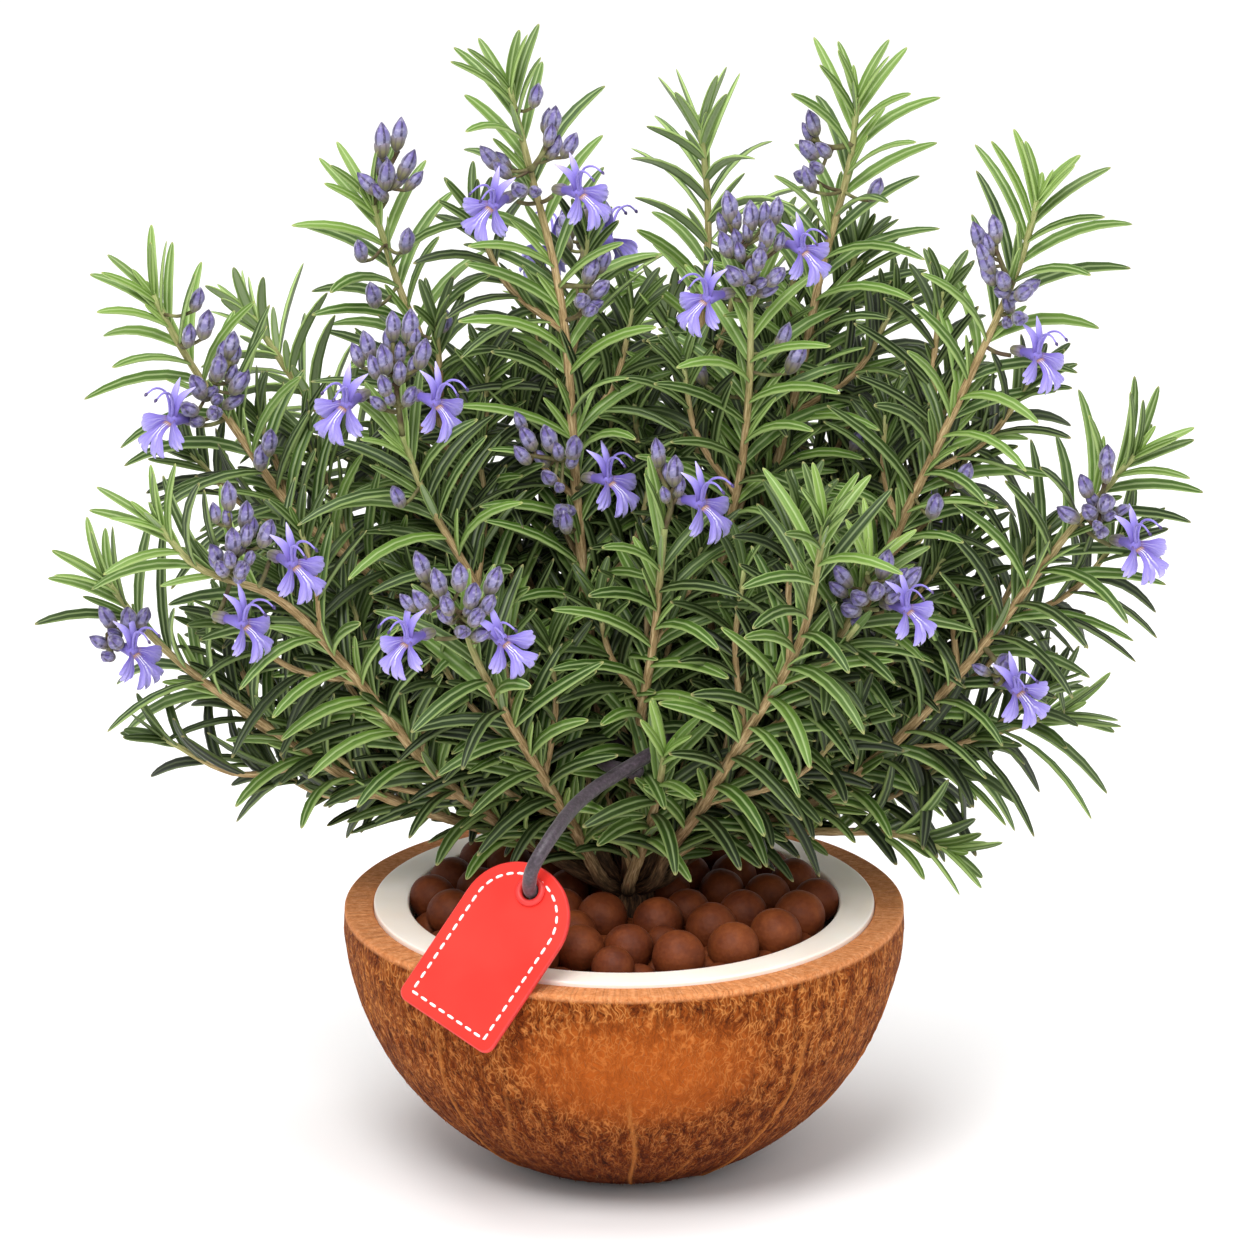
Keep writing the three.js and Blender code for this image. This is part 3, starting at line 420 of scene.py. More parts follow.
# The tag's edge and the eyelet: a deeper red, a little streaky. The deeper red
# is painted shade, a darker copy of the face's red for the tag's sides.
tag_edge = mottled_skin(
    "tag_edge_painted_shade", {"Roughness": 0.5}, 420.0, 3.0,
    [(0.35, "#cb2a27"), (0.65, "#de3531")], bump=(0.2, 0.0001))
# Waxed linen thread: near white, with the twist of its plies, 0.4 mm apart, as
# fine light and dark.
stitch_thread = mottled_skin(
    "white_waxed_thread", {"Roughness": 0.6, "Sheen Weight": 0.2}, 2600.0, 2.0,
    [(0.35, "#f0e4de"), (0.6, "#fffaf7")], bump=(0.3, 0.0001))


def tag_outline(inset, steps):
    """The tag's outline, that far inside its edge, counter-clockwise from bottom right."""
    half = TAG_WIDTH / 2
    corner = max(TAG_CORNER - inset, 0.3)
    low = TAG_BOTTOM + inset + corner
    arc_middle = TAG_BOTTOM + TAG_LENGTH - half
    right = TAG_MIDDLE + half - inset - corner
    left = TAG_MIDDLE - half + inset + corner
    quarter = np.linspace(0, math.pi / 2, steps)
    top = np.linspace(0, math.pi, steps * 4)
    arc = half - inset
    return np.vstack([
        np.stack([right + corner * np.sin(quarter), low - corner * np.cos(quarter)], 1),
        np.stack([TAG_MIDDLE + arc * np.cos(top), arc_middle + arc * np.sin(top)], 1),
        np.stack([left - corner * np.cos(quarter), low - corner * np.sin(quarter)], 1),
    ])


def ring_around(centre_up, radius, outline):
    """One point of a circle round the hole for each point of the outline."""
    angles = np.arctan2(outline[:, 1] - centre_up, outline[:, 0] - TAG_MIDDLE)
    return np.stack(
        [TAG_MIDDLE + radius * np.cos(angles), centre_up + radius * np.sin(angles)], 1)


tag_levels = [
    # inset, height above the back face, from the back's edge round to the front's
    (EDGE_ROUND, 0.0), (0.0, EDGE_ROUND), (0.0, TAG_THICKNESS - EDGE_ROUND),
    (EDGE_ROUND, TAG_THICKNESS),
]
rows = [(tag_outline(inset, CORNER_STEPS), height) for inset, height in tag_levels]
hole_row = ring_around(HOLE_UP, HOLE_RADIUS, rows[0][0])
rows += [(hole_row, TAG_THICKNESS), (hole_row, 0.0)]
edge_rows = [on_tag(row[:, 0], row[:, 1], np.full(len(row), height)) for row, height in rows]
count = len(hole_row)
tag_points = np.vstack(edge_rows)
tag_index = np.arange(len(tag_points)).reshape(len(edge_rows), count)
tag_faces = []
for row in range(len(edge_rows)):
    low, high = tag_index[row], tag_index[(row + 1) % len(edge_rows)]
    tag_faces.append(np.stack([low, np.roll(low, -1), np.roll(high, -1), high], 1))
flat_faces = np.vstack([tag_faces[3], tag_faces[5]])
edge_faces = np.vstack([*tag_faces[:3], tag_faces[4]])
tag_board = build_piece(
    "tag_board", [(tag_points, [flat_faces, edge_faces], {}, [tag_leather, tag_edge])],
    flat=[tag_leather])
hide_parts("swing_tag")

# Stitches: short white dashes that dip into the board at both ends.
STITCH_INSET, STITCH_LENGTH, STITCH_PITCH = 2.9, 1.75, 2.75
STITCH_RISE, STITCH_SINK, STITCH_STEPS = 0.16, 0.1, 7
stitch_radii = 0.34 * np.array([0.7, 0.95, 1, 1, 1, 0.95, 0.7])
stitch_line = tag_outline(STITCH_INSET, CORNER_STEPS)
stitch_line = np.vstack([stitch_line, stitch_line[:1]])
run = np.concatenate([[0], np.cumsum(np.linalg.norm(np.diff(stitch_line, axis=0), axis=1))])
stitch_count = round(run[-1] / STITCH_PITCH)
stitch_starts = np.arange(stitch_count) * run[-1] / stitch_count
stitch_steps = stitch_starts[:, None] + np.linspace(0, STITCH_LENGTH, STITCH_STEPS)
stitch_x = np.interp(stitch_steps, run, stitch_line[:, 0], period=run[-1])
stitch_y = np.interp(stitch_steps, run, stitch_line[:, 1], period=run[-1])
stitch_arch = np.sin(np.linspace(0, math.pi, STITCH_STEPS))
stitch_lift = TAG_THICKNESS + STITCH_RISE * stitch_arch - STITCH_SINK
stitches = sweep(on_tag(stitch_x, stitch_y, np.broadcast_to(stitch_lift, stitch_x.shape)),
                 tag_face, ring_section(8), stitch_radii)
build_piece("tag_stitching", [(*stitches, stitch_thread)])


def turned(profile, segments):
    """A closed solid turned about +Z from a profile of radii and heights, in mm."""
    profile = np.asarray(profile, float)
    angles = np.arange(segments) / segments * 2 * math.pi
    rings = np.stack([
        profile[:, :1] * np.cos(angles), profile[:, :1] * np.sin(angles),
        np.broadcast_to(profile[:, 1:], (len(profile), segments))], -1)
    index = np.arange(len(profile) * segments).reshape(len(profile), segments)
    low, high = index, np.roll(index, -1, axis=0)
    walls = np.stack([low, np.roll(low, -1, 1), np.roll(high, -1, 1), high], -1)
    return rings.reshape(-1, 3), [walls.reshape(-1, 4)], {
        "profile": np.repeat(np.arange(len(profile), dtype=float), segments)}


# The eyelet: a raised red ring with a rounded lip. Its profile is in radii from
# the middle of the hole and heights above the tag's back.
LIP_MIDDLE, LIP_HALF_WIDTH, LIP_HEIGHT = 2.9, 0.82, 0.75
eyelet_profile = [
    (2.05, 0.1), (2.6, 0.1), (2.6, TAG_THICKNESS + 0.3), (3.7, TAG_THICKNESS + 0.3)]
eyelet_profile += [
    (LIP_MIDDLE + LIP_HALF_WIDTH * math.cos(a), TAG_THICKNESS + 0.45 + LIP_HEIGHT * math.sin(a))
    for a in np.linspace(0, math.pi, 9)]
points, faces, marks = turned(eyelet_profile, 48)
points = on_tag(points[:, 0] + TAG_MIDDLE, points[:, 1] + HOLE_UP, points[:, 2])
eyelet_ring = build_piece("eyelet_ring", [(points, faces, marks, tag_edge)])
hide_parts("tag_eyelet")

# ---- Coconut husk ----
# The brown husk and shell of half a coconut, sawn level and sanded at the cut,
# with a foot ground flat. Fibres run from rim to foot, a few of them as thick
# raised veins, and short loose hairs stand on the skin.
SHELL_WALL = 7.0
FOOT_ANGLE = math.asin(RIM_HEIGHT / RIM_RADIUS)
RIM_ROUND = 0.8
HUSK_SEGMENTS = 560


def bowl_arc(radius, first, last, steps):
    """Profile points on a sphere about the middle of the rim, by angle below the rim."""
    angles = np.linspace(first, last, steps)
    return [(radius * math.cos(a), RIM_HEIGHT - radius * math.sin(a)) for a in angles]


# Coconut husk, rasped clean and left raw: matt and mottled orange brown, with
# pale curling threads that catch the light. It is painted darker towards the
# foot: painted shade where less light falls.
husk_fibre, tree, shader = new_material("coconut_husk_fibre", {
    "Roughness": 0.72, "Specular IOR Level": 0.06})
fibre_run, round_x, round_y, cut_mark, vein_mark, patch_and_highlight_mark = (
    add_node(tree, "ShaderNodeAttribute", {"attribute_name": mark}).outputs["Fac"]
    for mark in ("drop", "round_x", "round_y", "cut", "vein", "smooth_patch"))
fibre_place = add_node(tree, "ShaderNodeCombineXYZ", {}, {
    "X": round_x, "Y": round_y, "Z": fibre_run})
# Fibres are 0.8 mm wide and 2.4 mm long, and curl: a noise of 6 mm bends them.
# Threads follow the edges of cells 1.2 mm wide and 3.3 mm long, and flecks are
# 3 by 5 mm. Real coir is 0.2 mm wide, which is too fine to show.
bend = add_node(tree, "ShaderNodeTexNoise", {"Scale": 0.16, "Detail": 2.0},
                {"Vector": fibre_place})
bent_place = add_node(tree, "ShaderNodeVectorMath", {
    "operation": "MULTIPLY_ADD", 1: (7.0, 7.0, 7.0)}, {0: bend.outputs["Color"], 2: fibre_place})
thread_place, fibre_stretch, fleck_place = (
    add_node(tree, "ShaderNodeVectorMath", {"operation": "MULTIPLY", 1: stretch}, {0: start})
    for start, stretch in ((bent_place, (0.85, 0.85, 0.3)), (bent_place, (1.3, 1.3, 0.42)),
                           (fibre_place, (0.36, 0.36, 0.2))))
thread_cells = add_node(tree, "ShaderNodeTexVoronoi", {
    "feature": "DISTANCE_TO_EDGE", "Scale": 1.0, "Randomness": 1.0}, {"Vector": thread_place})
threads = add_node(tree, "ShaderNodeMapRange", {"From Min": 0.15, "From Max": 0.0},
                   {"Value": thread_cells})
fibres = add_node(tree, "ShaderNodeTexNoise", {
    "Scale": 1.0, "Detail": 4.0, "Roughness": 0.65, "Distortion": 0.8}, {"Vector": fibre_stretch})
flecks = add_node(tree, "ShaderNodeTexNoise", {"Scale": 1.0, "Detail": 5.0, "Roughness": 0.7},
                  {"Vector": fleck_place})
fibre_mix = add_node(tree, "ShaderNodeMix", {"data_type": "FLOAT", 0: 0.4}, {
    2: fibres, 3: flecks})
fibre_tint = add_node(tree, "ShaderNodeValToRGB", {"stops": [
    (0.34, "#361504"), (0.44, "#5e2809"), (0.51, "#7f3d12"), (0.6, "#964d1b"),
    (0.7, "#b0652c")]}, {"Fac": fibre_mix})
thread_patches = add_node(tree, "ShaderNodeMapRange", {
    "From Min": 0.42, "From Max": 0.58, "To Max": 0.95}, {"Value": flecks})
thread_share = add_node(tree, "ShaderNodeMath", {"operation": "MULTIPLY"}, {
    0: threads, 1: thread_patches})
threaded = add_node(tree, "ShaderNodeMix", {"data_type": "RGBA", 7: linear("#cf8747")}, {
    0: thread_share, 6: fibre_tint})
# Painted shade: the husk is multiplied darker towards its foot, where less light falls.
foot_painted_shade = add_node(tree, "ShaderNodeMapRange", {
    "From Min": 18.0, "From Max": 78.0, "To Max": 0.9}, {"Value": fibre_run})
husk_colour = add_node(tree, "ShaderNodeMix", {
    "data_type": "RGBA", "blend_type": "MULTIPLY", 7: linear("#8a5238")}, {
    0: foot_painted_shade, 6: threaded})
# The front patch is lighter orange, partly the smooth husk and partly a painted highlight; the
# veins are paler.
for share, colour in ((patch_and_highlight_mark, "#b4591d"), (vein_mark, "#bd763a")):
    husk_colour = add_node(tree, "ShaderNodeMix", {"data_type": "RGBA", 7: linear(colour)}, {
        0: share, 6: husk_colour})
# The sawn and sanded cut is paler, with a grain of 1.4 mm.
object_place = add_node(tree, "ShaderNodeTexCoord", {}).outputs["Object"]
cut_grain = add_node(tree, "ShaderNodeTexNoise", {
    "Scale": 700.0, "Detail": 5.0, "Roughness": 0.75}, {"Vector": object_place})
cut_tint = add_node(tree, "ShaderNodeValToRGB", {"stops": [
    (0.34, "#bd7341"), (0.5, "#d18855"), (0.68, "#e2a070")]}, {"Fac": cut_grain})
whole_colour = add_node(tree, "ShaderNodeMix", {"data_type": "RGBA"}, {
    0: cut_mark, 6: husk_colour, 7: cut_tint})
thread_relief = add_node(tree, "ShaderNodeBump", {"Strength": 0.5, "Distance": 0.0005},
                         {"Height": threads})
fibre_relief = add_node(tree, "ShaderNodeBump", {"Strength": 0.8, "Distance": 0.0007}, {
    "Height": fibre_mix, "Normal": thread_relief})
colour_skin(shader, whole_colour, fibre_relief)

# Profile: foot, outer wall, sanded rim, inner wall.
husk_profile = [(0.02, 0.0), (10.0, 0.0), (20.4, 0.0)]
husk_profile += bowl_arc(RIM_RADIUS, FOOT_ANGLE, 0.012, 90)
rim_first = len(husk_profile)
husk_profile += [
    (RIM_RADIUS - RIM_ROUND * (1 - math.cos(a)), RIM_HEIGHT - RIM_ROUND * (1 - math.sin(a)))
    for a in np.linspace(0.2, math.pi / 2, 5)]
husk_profile += [(RIM_RADIUS - x, RIM_HEIGHT) for x in (1.8, 3.2, 4.6, 5.8, 6.6)]
husk_profile += [(RIM_RADIUS - SHELL_WALL, RIM_HEIGHT - 0.4)]
rim_last = len(husk_profile)
husk_profile += bowl_arc(RIM_RADIUS - SHELL_WALL, 0.03, math.pi / 2 - 0.001, 24)
husk_points, husk_faces, husk_marks = turned(husk_profile, HUSK_SEGMENTS)
row = husk_marks.pop("profile")
bearing = np.arctan2(husk_points[:, 1], husk_points[:, 0])
round_place = np.cos(bearing) * RIM_RADIUS, np.sin(bearing) * RIM_RADIUS
# How far a point lies below the rim, measured down the round of the husk.
drop = np.arcsin(np.clip((RIM_HEIGHT - husk_points[:, 2]) / RIM_RADIUS, -1, 1)) * RIM_RADIUS
outer_skin = (row >= 3) & (row < rim_first)

# Thick veins, with their bearings in degrees and the drops between which they run.
VEIN_HALF_WIDTH = 0.42
husk_veins = [
    # bearing at its top, bearing at its foot, first drop, last drop, height
    (-132.5, -142.0, 14.0, 78.0, 0.9), (-88.3, -86.2, 27.0, 90.0, 0.8),
    (-48.0, -53.0, 12.0, 86.0, 0.9), (-117.5, -125.0, 26.0, 62.0, 0.5),
    (-70.0, -75.0, 50.0, 88.0, 0.4), (-14.0, -24.0, 16.0, 88.0, 0.8),
    (25.0, 38.0, 20.0, 90.0, 0.9), (78.0, 84.0, 16.0, 92.0, 0.8),
    (128.0, 118.0, 30.0, 90.0, 0.7), (172.0, 160.0, 18.0, 90.0, 0.9),
    (-168.0, -160.0, 40.0, 88.0, 0.6),
]
vein = np.zeros(len(husk_points))
for top, foot, first, last, strength in husk_veins:
    share = np.clip((drop - first) / (last - first), 0, 1)
    line = np.radians(top + (foot - top) * share**1.3) + 0.012 * np.sin(drop / 6 + top)
    apart = np.abs((bearing - line + math.pi) % (2 * math.pi) - math.pi)
    apart = apart * np.linalg.norm(husk_points[:, :2], axis=1)
    ends = np.clip((drop - first) / 8, 0, 1) * np.clip((last - drop) / 6, 0, 1)
    vein = np.maximum(vein, strength * ends * np.exp(-((apart / VEIN_HALF_WIDTH) ** 2)))
vein *= outer_skin

# The smooth patch on the front, a rounded oblong with a soft edge. Its lighter
# orange is partly the smooth husk and partly a painted highlight where the light
# falls most on the front.
PATCH_BEARING, PATCH_DROP = math.radians(-86), 21.5
PATCH_HALF_WIDTH, PATCH_HALF_HEIGHT = 34.0, 17.0
patch_x = (bearing - PATCH_BEARING) * RIM_RADIUS / PATCH_HALF_WIDTH
patch_y = (drop - PATCH_DROP) / PATCH_HALF_HEIGHT
smooth_patch = np.clip(1.1 - (patch_x**2 + patch_y**2), 0, 1) ** 0.8 * 0.66 * outer_skin

# The skin stands a little proud of the shell. Coarse fibres on it are 2 mm wide
# and 11 mm long, and finer ones 0.8 by 5 mm.
SKIN_RISE, FIBRE_RELIEF, VEIN_RELIEF = 0.3, 0.24, 0.5
fibre_height = np.array([
    noise.noise(Vector((x * 0.5, y * 0.5, d * 0.09)))
    + 0.6 * noise.noise(Vector((x * 1.3, y * 1.3, d * 0.2)))
    for x, y, d in zip(*round_place, drop)])
edge_fade = np.clip((drop - 1.5) / 4, 0, 1) * np.clip((husk_points[:, 2] - 0.5) / 3, 0, 1)
relief = FIBRE_RELIEF * fibre_height * (1 - smooth_patch) + VEIN_RELIEF * vein
relief = outer_skin * edge_fade * relief + SKIN_RISE * outer_skin * edge_fade
skin_out = unit(husk_points - np.array([0, 0, RIM_HEIGHT]))
husk_points = husk_points + skin_out * relief[:, None]
husk_marks = {
    "drop": drop, "round_x": round_place[0], "round_y": round_place[1], "vein": vein,
    "cut": ((row >= rim_first - 1) & (row < rim_last)).astype(float),
    "smooth_patch": smooth_patch}
husk = build_piece("husk", [(husk_points, husk_faces, husk_marks, husk_fibre)])
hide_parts("coconut_shell")

# Loose coir hairs, each a fine tapered fibre that lies along the skin and lifts.
HAIR_COUNT = 1500
HAIR_RADII = np.array([0.1, 0.1, 0.09, 0.07, 0.03])
random_hair = np.random.default_rng(4)
hair_bearing = random_hair.uniform(-math.pi, math.pi, HAIR_COUNT)
hair_drop = 3 + 92 * random_hair.random(HAIR_COUNT) ** 0.8
hair_length = random_hair.uniform(2.0, 5.5, HAIR_COUNT)
hair_lift = random_hair.uniform(0.1, 0.9, HAIR_COUNT)
hair_lean = random_hair.normal(0, 0.35, HAIR_COUNT)
hair_steps = np.linspace(0, 1, len(HAIR_RADII))
hair_down = (hair_drop[:, None] + hair_length[:, None] * hair_steps) / RIM_RADIUS
hair_down = np.minimum(hair_down, FOOT_ANGLE)
hair_turn = hair_lean[:, None] * hair_length[:, None] * hair_steps / RIM_RADIUS
hair_turn = hair_bearing[:, None] + hair_turn
hair_radius = RIM_RADIUS - 0.15 + hair_lift[:, None] * hair_steps**2
hair_paths = np.stack([
    hair_radius * np.cos(hair_down) * np.cos(hair_turn),
    hair_radius * np.cos(hair_down) * np.sin(hair_turn),
    RIM_HEIGHT - hair_radius * np.sin(hair_down)], -1)
hair_paths = hair_paths[hair_paths[:, :, 2].min(1) > 0.6]
# Dry coir: matt, and lighter or darker by the tuft, 9 mm apart.
coir = mottled_skin("loose_coir_hair", {"Roughness": 0.7}, 110.0, 2.0,
                    [(0.35, "#7c4318"), (0.5, "#9a5a26"), (0.66, "#bb7838")])
hairs = sweep(hair_paths, (0.03, 0.05, 1), ring_section(3), HAIR_RADII)
build_piece("coir_hairs", [(*hairs, coir)])

# ---- Coconut flesh ----
# The white meat of the nut, left in as a lining. Its cut face is smooth and a
# little damp, and stands just proud of the husk.
FLESH_OUTER, FLESH_INNER, FLESH_LIP = 60.4, 51.9, 1.0
OUTER_ROUND, INNER_ROUND = 0.5, 0.7
# Fresh coconut meat: warm white with a damp shine, and light goes a few mm into
# it. Its clouds are 18 mm apart and its grain is 1.1 mm.
coconut_meat, tree, shader = new_material("fresh_coconut_meat", {
    "Roughness": 0.38, "Subsurface Weight": 0.15, "Subsurface Radius": (0.004, 0.003, 0.002),
    "Subsurface Scale": 1.0})
object_place = add_node(tree, "ShaderNodeTexCoord", {}).outputs["Object"]
meat_clouds = add_node(tree, "ShaderNodeTexNoise", {"Scale": 55.0, "Detail": 3.0},
                       {"Vector": object_place})
meat_tint = add_node(tree, "ShaderNodeValToRGB", {"stops": [(0.3, "#fdebdd"), (0.65, "#fff3e9")]},
                     {"Fac": meat_clouds})
meat_grain = add_node(tree, "ShaderNodeTexNoise", {"Scale": 900.0, "Detail": 2.0},
                      {"Vector": object_place})
meat_relief = add_node(tree, "ShaderNodeBump", {"Strength": 0.1, "Distance": 0.0001},
                       {"Height": meat_grain})
colour_skin(shader, meat_tint, meat_relief)
lip_top = RIM_HEIGHT + FLESH_LIP
meat_profile = [(0.02, RIM_HEIGHT - FLESH_OUTER)]
meat_profile += bowl_arc(FLESH_OUTER, math.pi / 2 - 0.02, 0.02, 24)
meat_profile += [
    (FLESH_OUTER - OUTER_ROUND * (1 - math.cos(a)), lip_top - OUTER_ROUND * (1 - math.sin(a)))
    for a in np.linspace(0, math.pi / 2, 6)]
meat_profile += [(FLESH_OUTER - x, lip_top) for x in (2.4, 4.0, 5.2)]
meat_profile += [
    (FLESH_INNER + INNER_ROUND * (1 - math.sin(a)), lip_top - INNER_ROUND * (1 - math.cos(a)))
    for a in np.linspace(0, math.pi / 2, 7)]
meat_profile += bowl_arc(FLESH_INNER, 0.02, math.pi / 2 - 0.001, 24)
coconut_lining = build_piece(
    "coconut_lining", [(*turned(meat_profile, 160), coconut_meat)])
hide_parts("coconut_flesh")

# ---- Potting mix ----
# Potting soil of dark peat and bark crumbs, filled in loose to just below the rim.
# It is seen only as shadow between the pebbles, so the plain solid keeps its shape.

# Damp peat and bark: nearly black crumbs, 2.4 mm across, that swallow the light.
peat, tree, shader = new_material("damp_peat_and_bark", {"Roughness": 0.95})
object_place = add_node(tree, "ShaderNodeTexCoord", {}).outputs["Object"]
crumbs = add_node(tree, "ShaderNodeTexVoronoi", {"Scale": 420.0}, {"Vector": object_place})
peat_tint = add_node(tree, "ShaderNodeValToRGB", {"stops": [(0.0, "#3a271b"), (0.6, "#160d08")]},
                     {"Fac": crumbs})
peat_relief = add_node(tree, "ShaderNodeBump", {
    "Strength": 0.9, "Distance": 0.001, "invert": True}, {"Height": crumbs})
colour_skin(shader, peat_tint, peat_relief)
mix_node = bpy.data.objects["potting_mix"]
mix_node.data.materials.clear()
mix_node.data.materials.append(peat)

# ---- Clay pebbles ----
# Balls of fired expanded clay, rolled and baked to a matt reddish brown, 10 to
# 12 mm across. They lie loose against each other in a layer over the mix, and a
# few more are sunk into it below. All places and sizes are in mm.
PEBBLE_LEVEL = 64.5
# Clay, fired without a glaze: dull, and cloudy from the kiln by about 6 mm. Its
# pores are 1.1 mm apart, coarser than real ones of 0.2 mm, which wouldn't show.
fired_clay, tree, shader = new_material("fired_expanded_clay", {
    "Roughness": 0.62, "Specular IOR Level": 0.24})
object_place = add_node(tree, "ShaderNodeTexCoord", {}).outputs["Object"]
ball_tone = add_node(tree, "ShaderNodeAttribute", {"attribute_name": "tone"}).outputs["Fac"]
clay_clouds = add_node(tree, "ShaderNodeTexNoise", {
    "Scale": 160.0, "Detail": 5.0, "Roughness": 0.7}, {"Vector": object_place})
clay_pores = add_node(tree, "ShaderNodeTexVoronoi", {"Scale": 900.0}, {"Vector": object_place})
clay_mix = add_node(tree, "ShaderNodeMath", {"operation": "MULTIPLY_ADD", 1: 0.07}, {
    0: ball_tone, 2: clay_clouds})
clay_tint = add_node(tree, "ShaderNodeValToRGB", {"stops": [
    (0.3, "#54230e"), (0.55, "#6f3516"), (0.8, "#864620")]}, {"Fac": clay_mix})
pore_relief = add_node(tree, "ShaderNodeBump", {"Strength": 0.3, "Distance": 0.0003},
                       {"Height": clay_pores})
cloud_relief = add_node(tree, "ShaderNodeBump", {"Strength": 0.2, "Distance": 0.0005}, {
    "Height": clay_clouds, "Normal": pore_relief})
colour_skin(shader, clay_tint, cloud_relief)

BALL_ROWS, BALL_COLUMNS = 20, 32
BALL_UNEVEN, BALL_SHRINK = 0.035, 0.02
random_ball = np.random.default_rng(11)


def clay_ball(x, y, z, radius):
    """A slightly uneven ball of clay, from pole to pole."""
    profile = [(radius * math.sin(a), -radius * math.cos(a))
               for a in np.linspace(0.02, math.pi - 0.02, BALL_ROWS)]
    points, faces, _ = turned(profile + [(0.001, 0.0)], BALL_COLUMNS)
    points = points[:-BALL_COLUMNS]
    walls = faces[0].reshape(-1, BALL_COLUMNS, 4)[: BALL_ROWS - 1].reshape(-1, 4)
    fan = np.arange(1, BALL_COLUMNS - 1)
    top = (BALL_ROWS - 1) * BALL_COLUMNS
    caps = [np.stack([0 * fan, fan + 1, fan], 1),
            np.stack([0 * fan + top, top + fan, top + fan + 1], 1)]
    shift = Vector(random_ball.uniform(0, 50, 3))
    bumps = np.array([noise.noise(Vector(p) / radius * 1.1 + shift) for p in points])
    points = points * (1 + BALL_UNEVEN * bumps - BALL_SHRINK)[:, None]
    turn = random_ball.uniform(0, 2 * math.pi)
    sin, cos = math.sin(turn), math.cos(turn)
    spin = np.array([[cos, -sin, 0], [sin, cos, 0], [0, 0, 1]])
    tone = np.full(len(points), random_ball.uniform(-1, 1))
    return points @ spin.T + (x, y, z), [walls, *caps], {"tone": tone}, fired_clay


front_pebbles = [
    # x, y, radius
    (-41.5, -8.8, 5.8), (-10.6, -34.7, 5.9), (1, -33.9, 5.8), (13, -39.6, 6.2),
    (-5.3, -11.5, 5.9), (8.2, -14.9, 5.9), (21.1, -19.5, 6.1), (28.6, -9.0, 5.7),
    (26.2, -33.4, 6), (36.4, -23.3, 6), (42.2, -10.5, 6.1),
]
FRONT_EXTRA = 0.4
for number, (x, y, radius) in enumerate(front_pebbles, 1):
    ball = clay_ball(x, y, PEBBLE_LEVEL, radius + FRONT_EXTRA)
    pebble = build_piece(f"pebble_{number:02d}", [ball])
    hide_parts(f"clay_pebble_{number:02d}")

# The rest of the layer: balls that show in the photograph first, then a grid of
# places filled wherever a ball has room between the lining and the crown.
CROWN_MIDDLE = np.array([1.0, 4.0, 65.0])
LINING_RADIUS, CROWN_ROOM = 52.1, 6.2
TOUCHING = 0.95  # the share of their two radii at which balls may stand apart
seen_pebbles = [
    (-46.3, 4.9, 5.8), (-41.5, 18.6, 5.7), (-34.6, 33.0, 5.6), (-35.0, 9.6, 5.7),
    (-27.8, 28.4, 5.8), (46.3, 2.6, 5.6), (41.0, 16.6, 5.9), (34.6, 6.4, 5.8),
    (26.6, 21.8, 5.7), (23.6, 9.2, 5.6), (-13.6, 10.4, 5.3), (15.4, 20.6, 5.5),
    (-30.2, -4.6, 5.9), (-25.6, -16.0, 5.8),
]
bed_balls = [*seen_pebbles]
laid = front_pebbles + seen_pebbles
for radius in (5.9, 5.3, 4.6):
    for i in range(-14, 15):
        for j in range(-14, 15):
            x = (i + 0.5 * (j % 2)) * radius * 1.03
            y = j * radius * 0.93
            near = min(math.hypot(x - a, y - b) - TOUCHING * (radius + c) for a, b, c in laid)
            in_bowl = math.hypot(x, y) < LINING_RADIUS - radius
            off_crown = math.hypot(x - CROWN_MIDDLE[0], y - CROWN_MIDDLE[1]) > CROWN_ROOM + radius
            if near > 0 and in_bowl and off_crown:
                laid.append((x, y, radius))
                bed_balls.append((x, y, radius))
bed_solids = [clay_ball(x, y, PEBBLE_LEVEL - 6 + radius - random_ball.uniform(0, 0.7), radius)
              for x, y, radius in bed_balls]
# A second layer, sunk into the mix, closes the gaps between the upper balls.
LOWER_LEVEL, LOWER_RADIUS, LOWER_GRID = 57.4, 5.6, 0.85
LOWER_OVERLAP, LOWER_SPACING, LOWER_REACH, LOWER_CROWN_ROOM = 0.62, 6.5, 46.3, 10.5
lower = []
for i in range(-60, 61):
    for j in range(-60, 61):
        x, y = i * LOWER_GRID, j * LOWER_GRID
        above = min(math.hypot(x - a, y - b) - LOWER_OVERLAP * (LOWER_RADIUS + c)
                    for a, b, c in laid)
        beside = min([math.hypot(x - a, y - b) for a, b in lower], default=math.inf)
        in_bowl = math.hypot(x, y) < LOWER_REACH
        off_crown = math.hypot(x - CROWN_MIDDLE[0], y - CROWN_MIDDLE[1]) > LOWER_CROWN_ROOM
        if above > 0 and beside > LOWER_SPACING and in_bowl and off_crown:
            lower.append((x, y))
bed_solids += [clay_ball(x, y, LOWER_LEVEL, LOWER_RADIUS) for x, y in lower]
pebble_layer = build_piece("pebble_layer", bed_solids)
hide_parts("pebble_bed")

# ---- Rosemary bark: crown and stems ----
# The woody crown is a knotted grey-brown stump. Old bark is brown and split in
# lengthwise flakes, and young stems are pale tan to green-grey with fine ribs.
# The old bark's dark brown, on the crown and the stems' lower third, is partly
# painted shade.
CROWN_NECK, CROWN_FOOT = 6.2, 44.3
CROWN_UNEVEN = 0.06
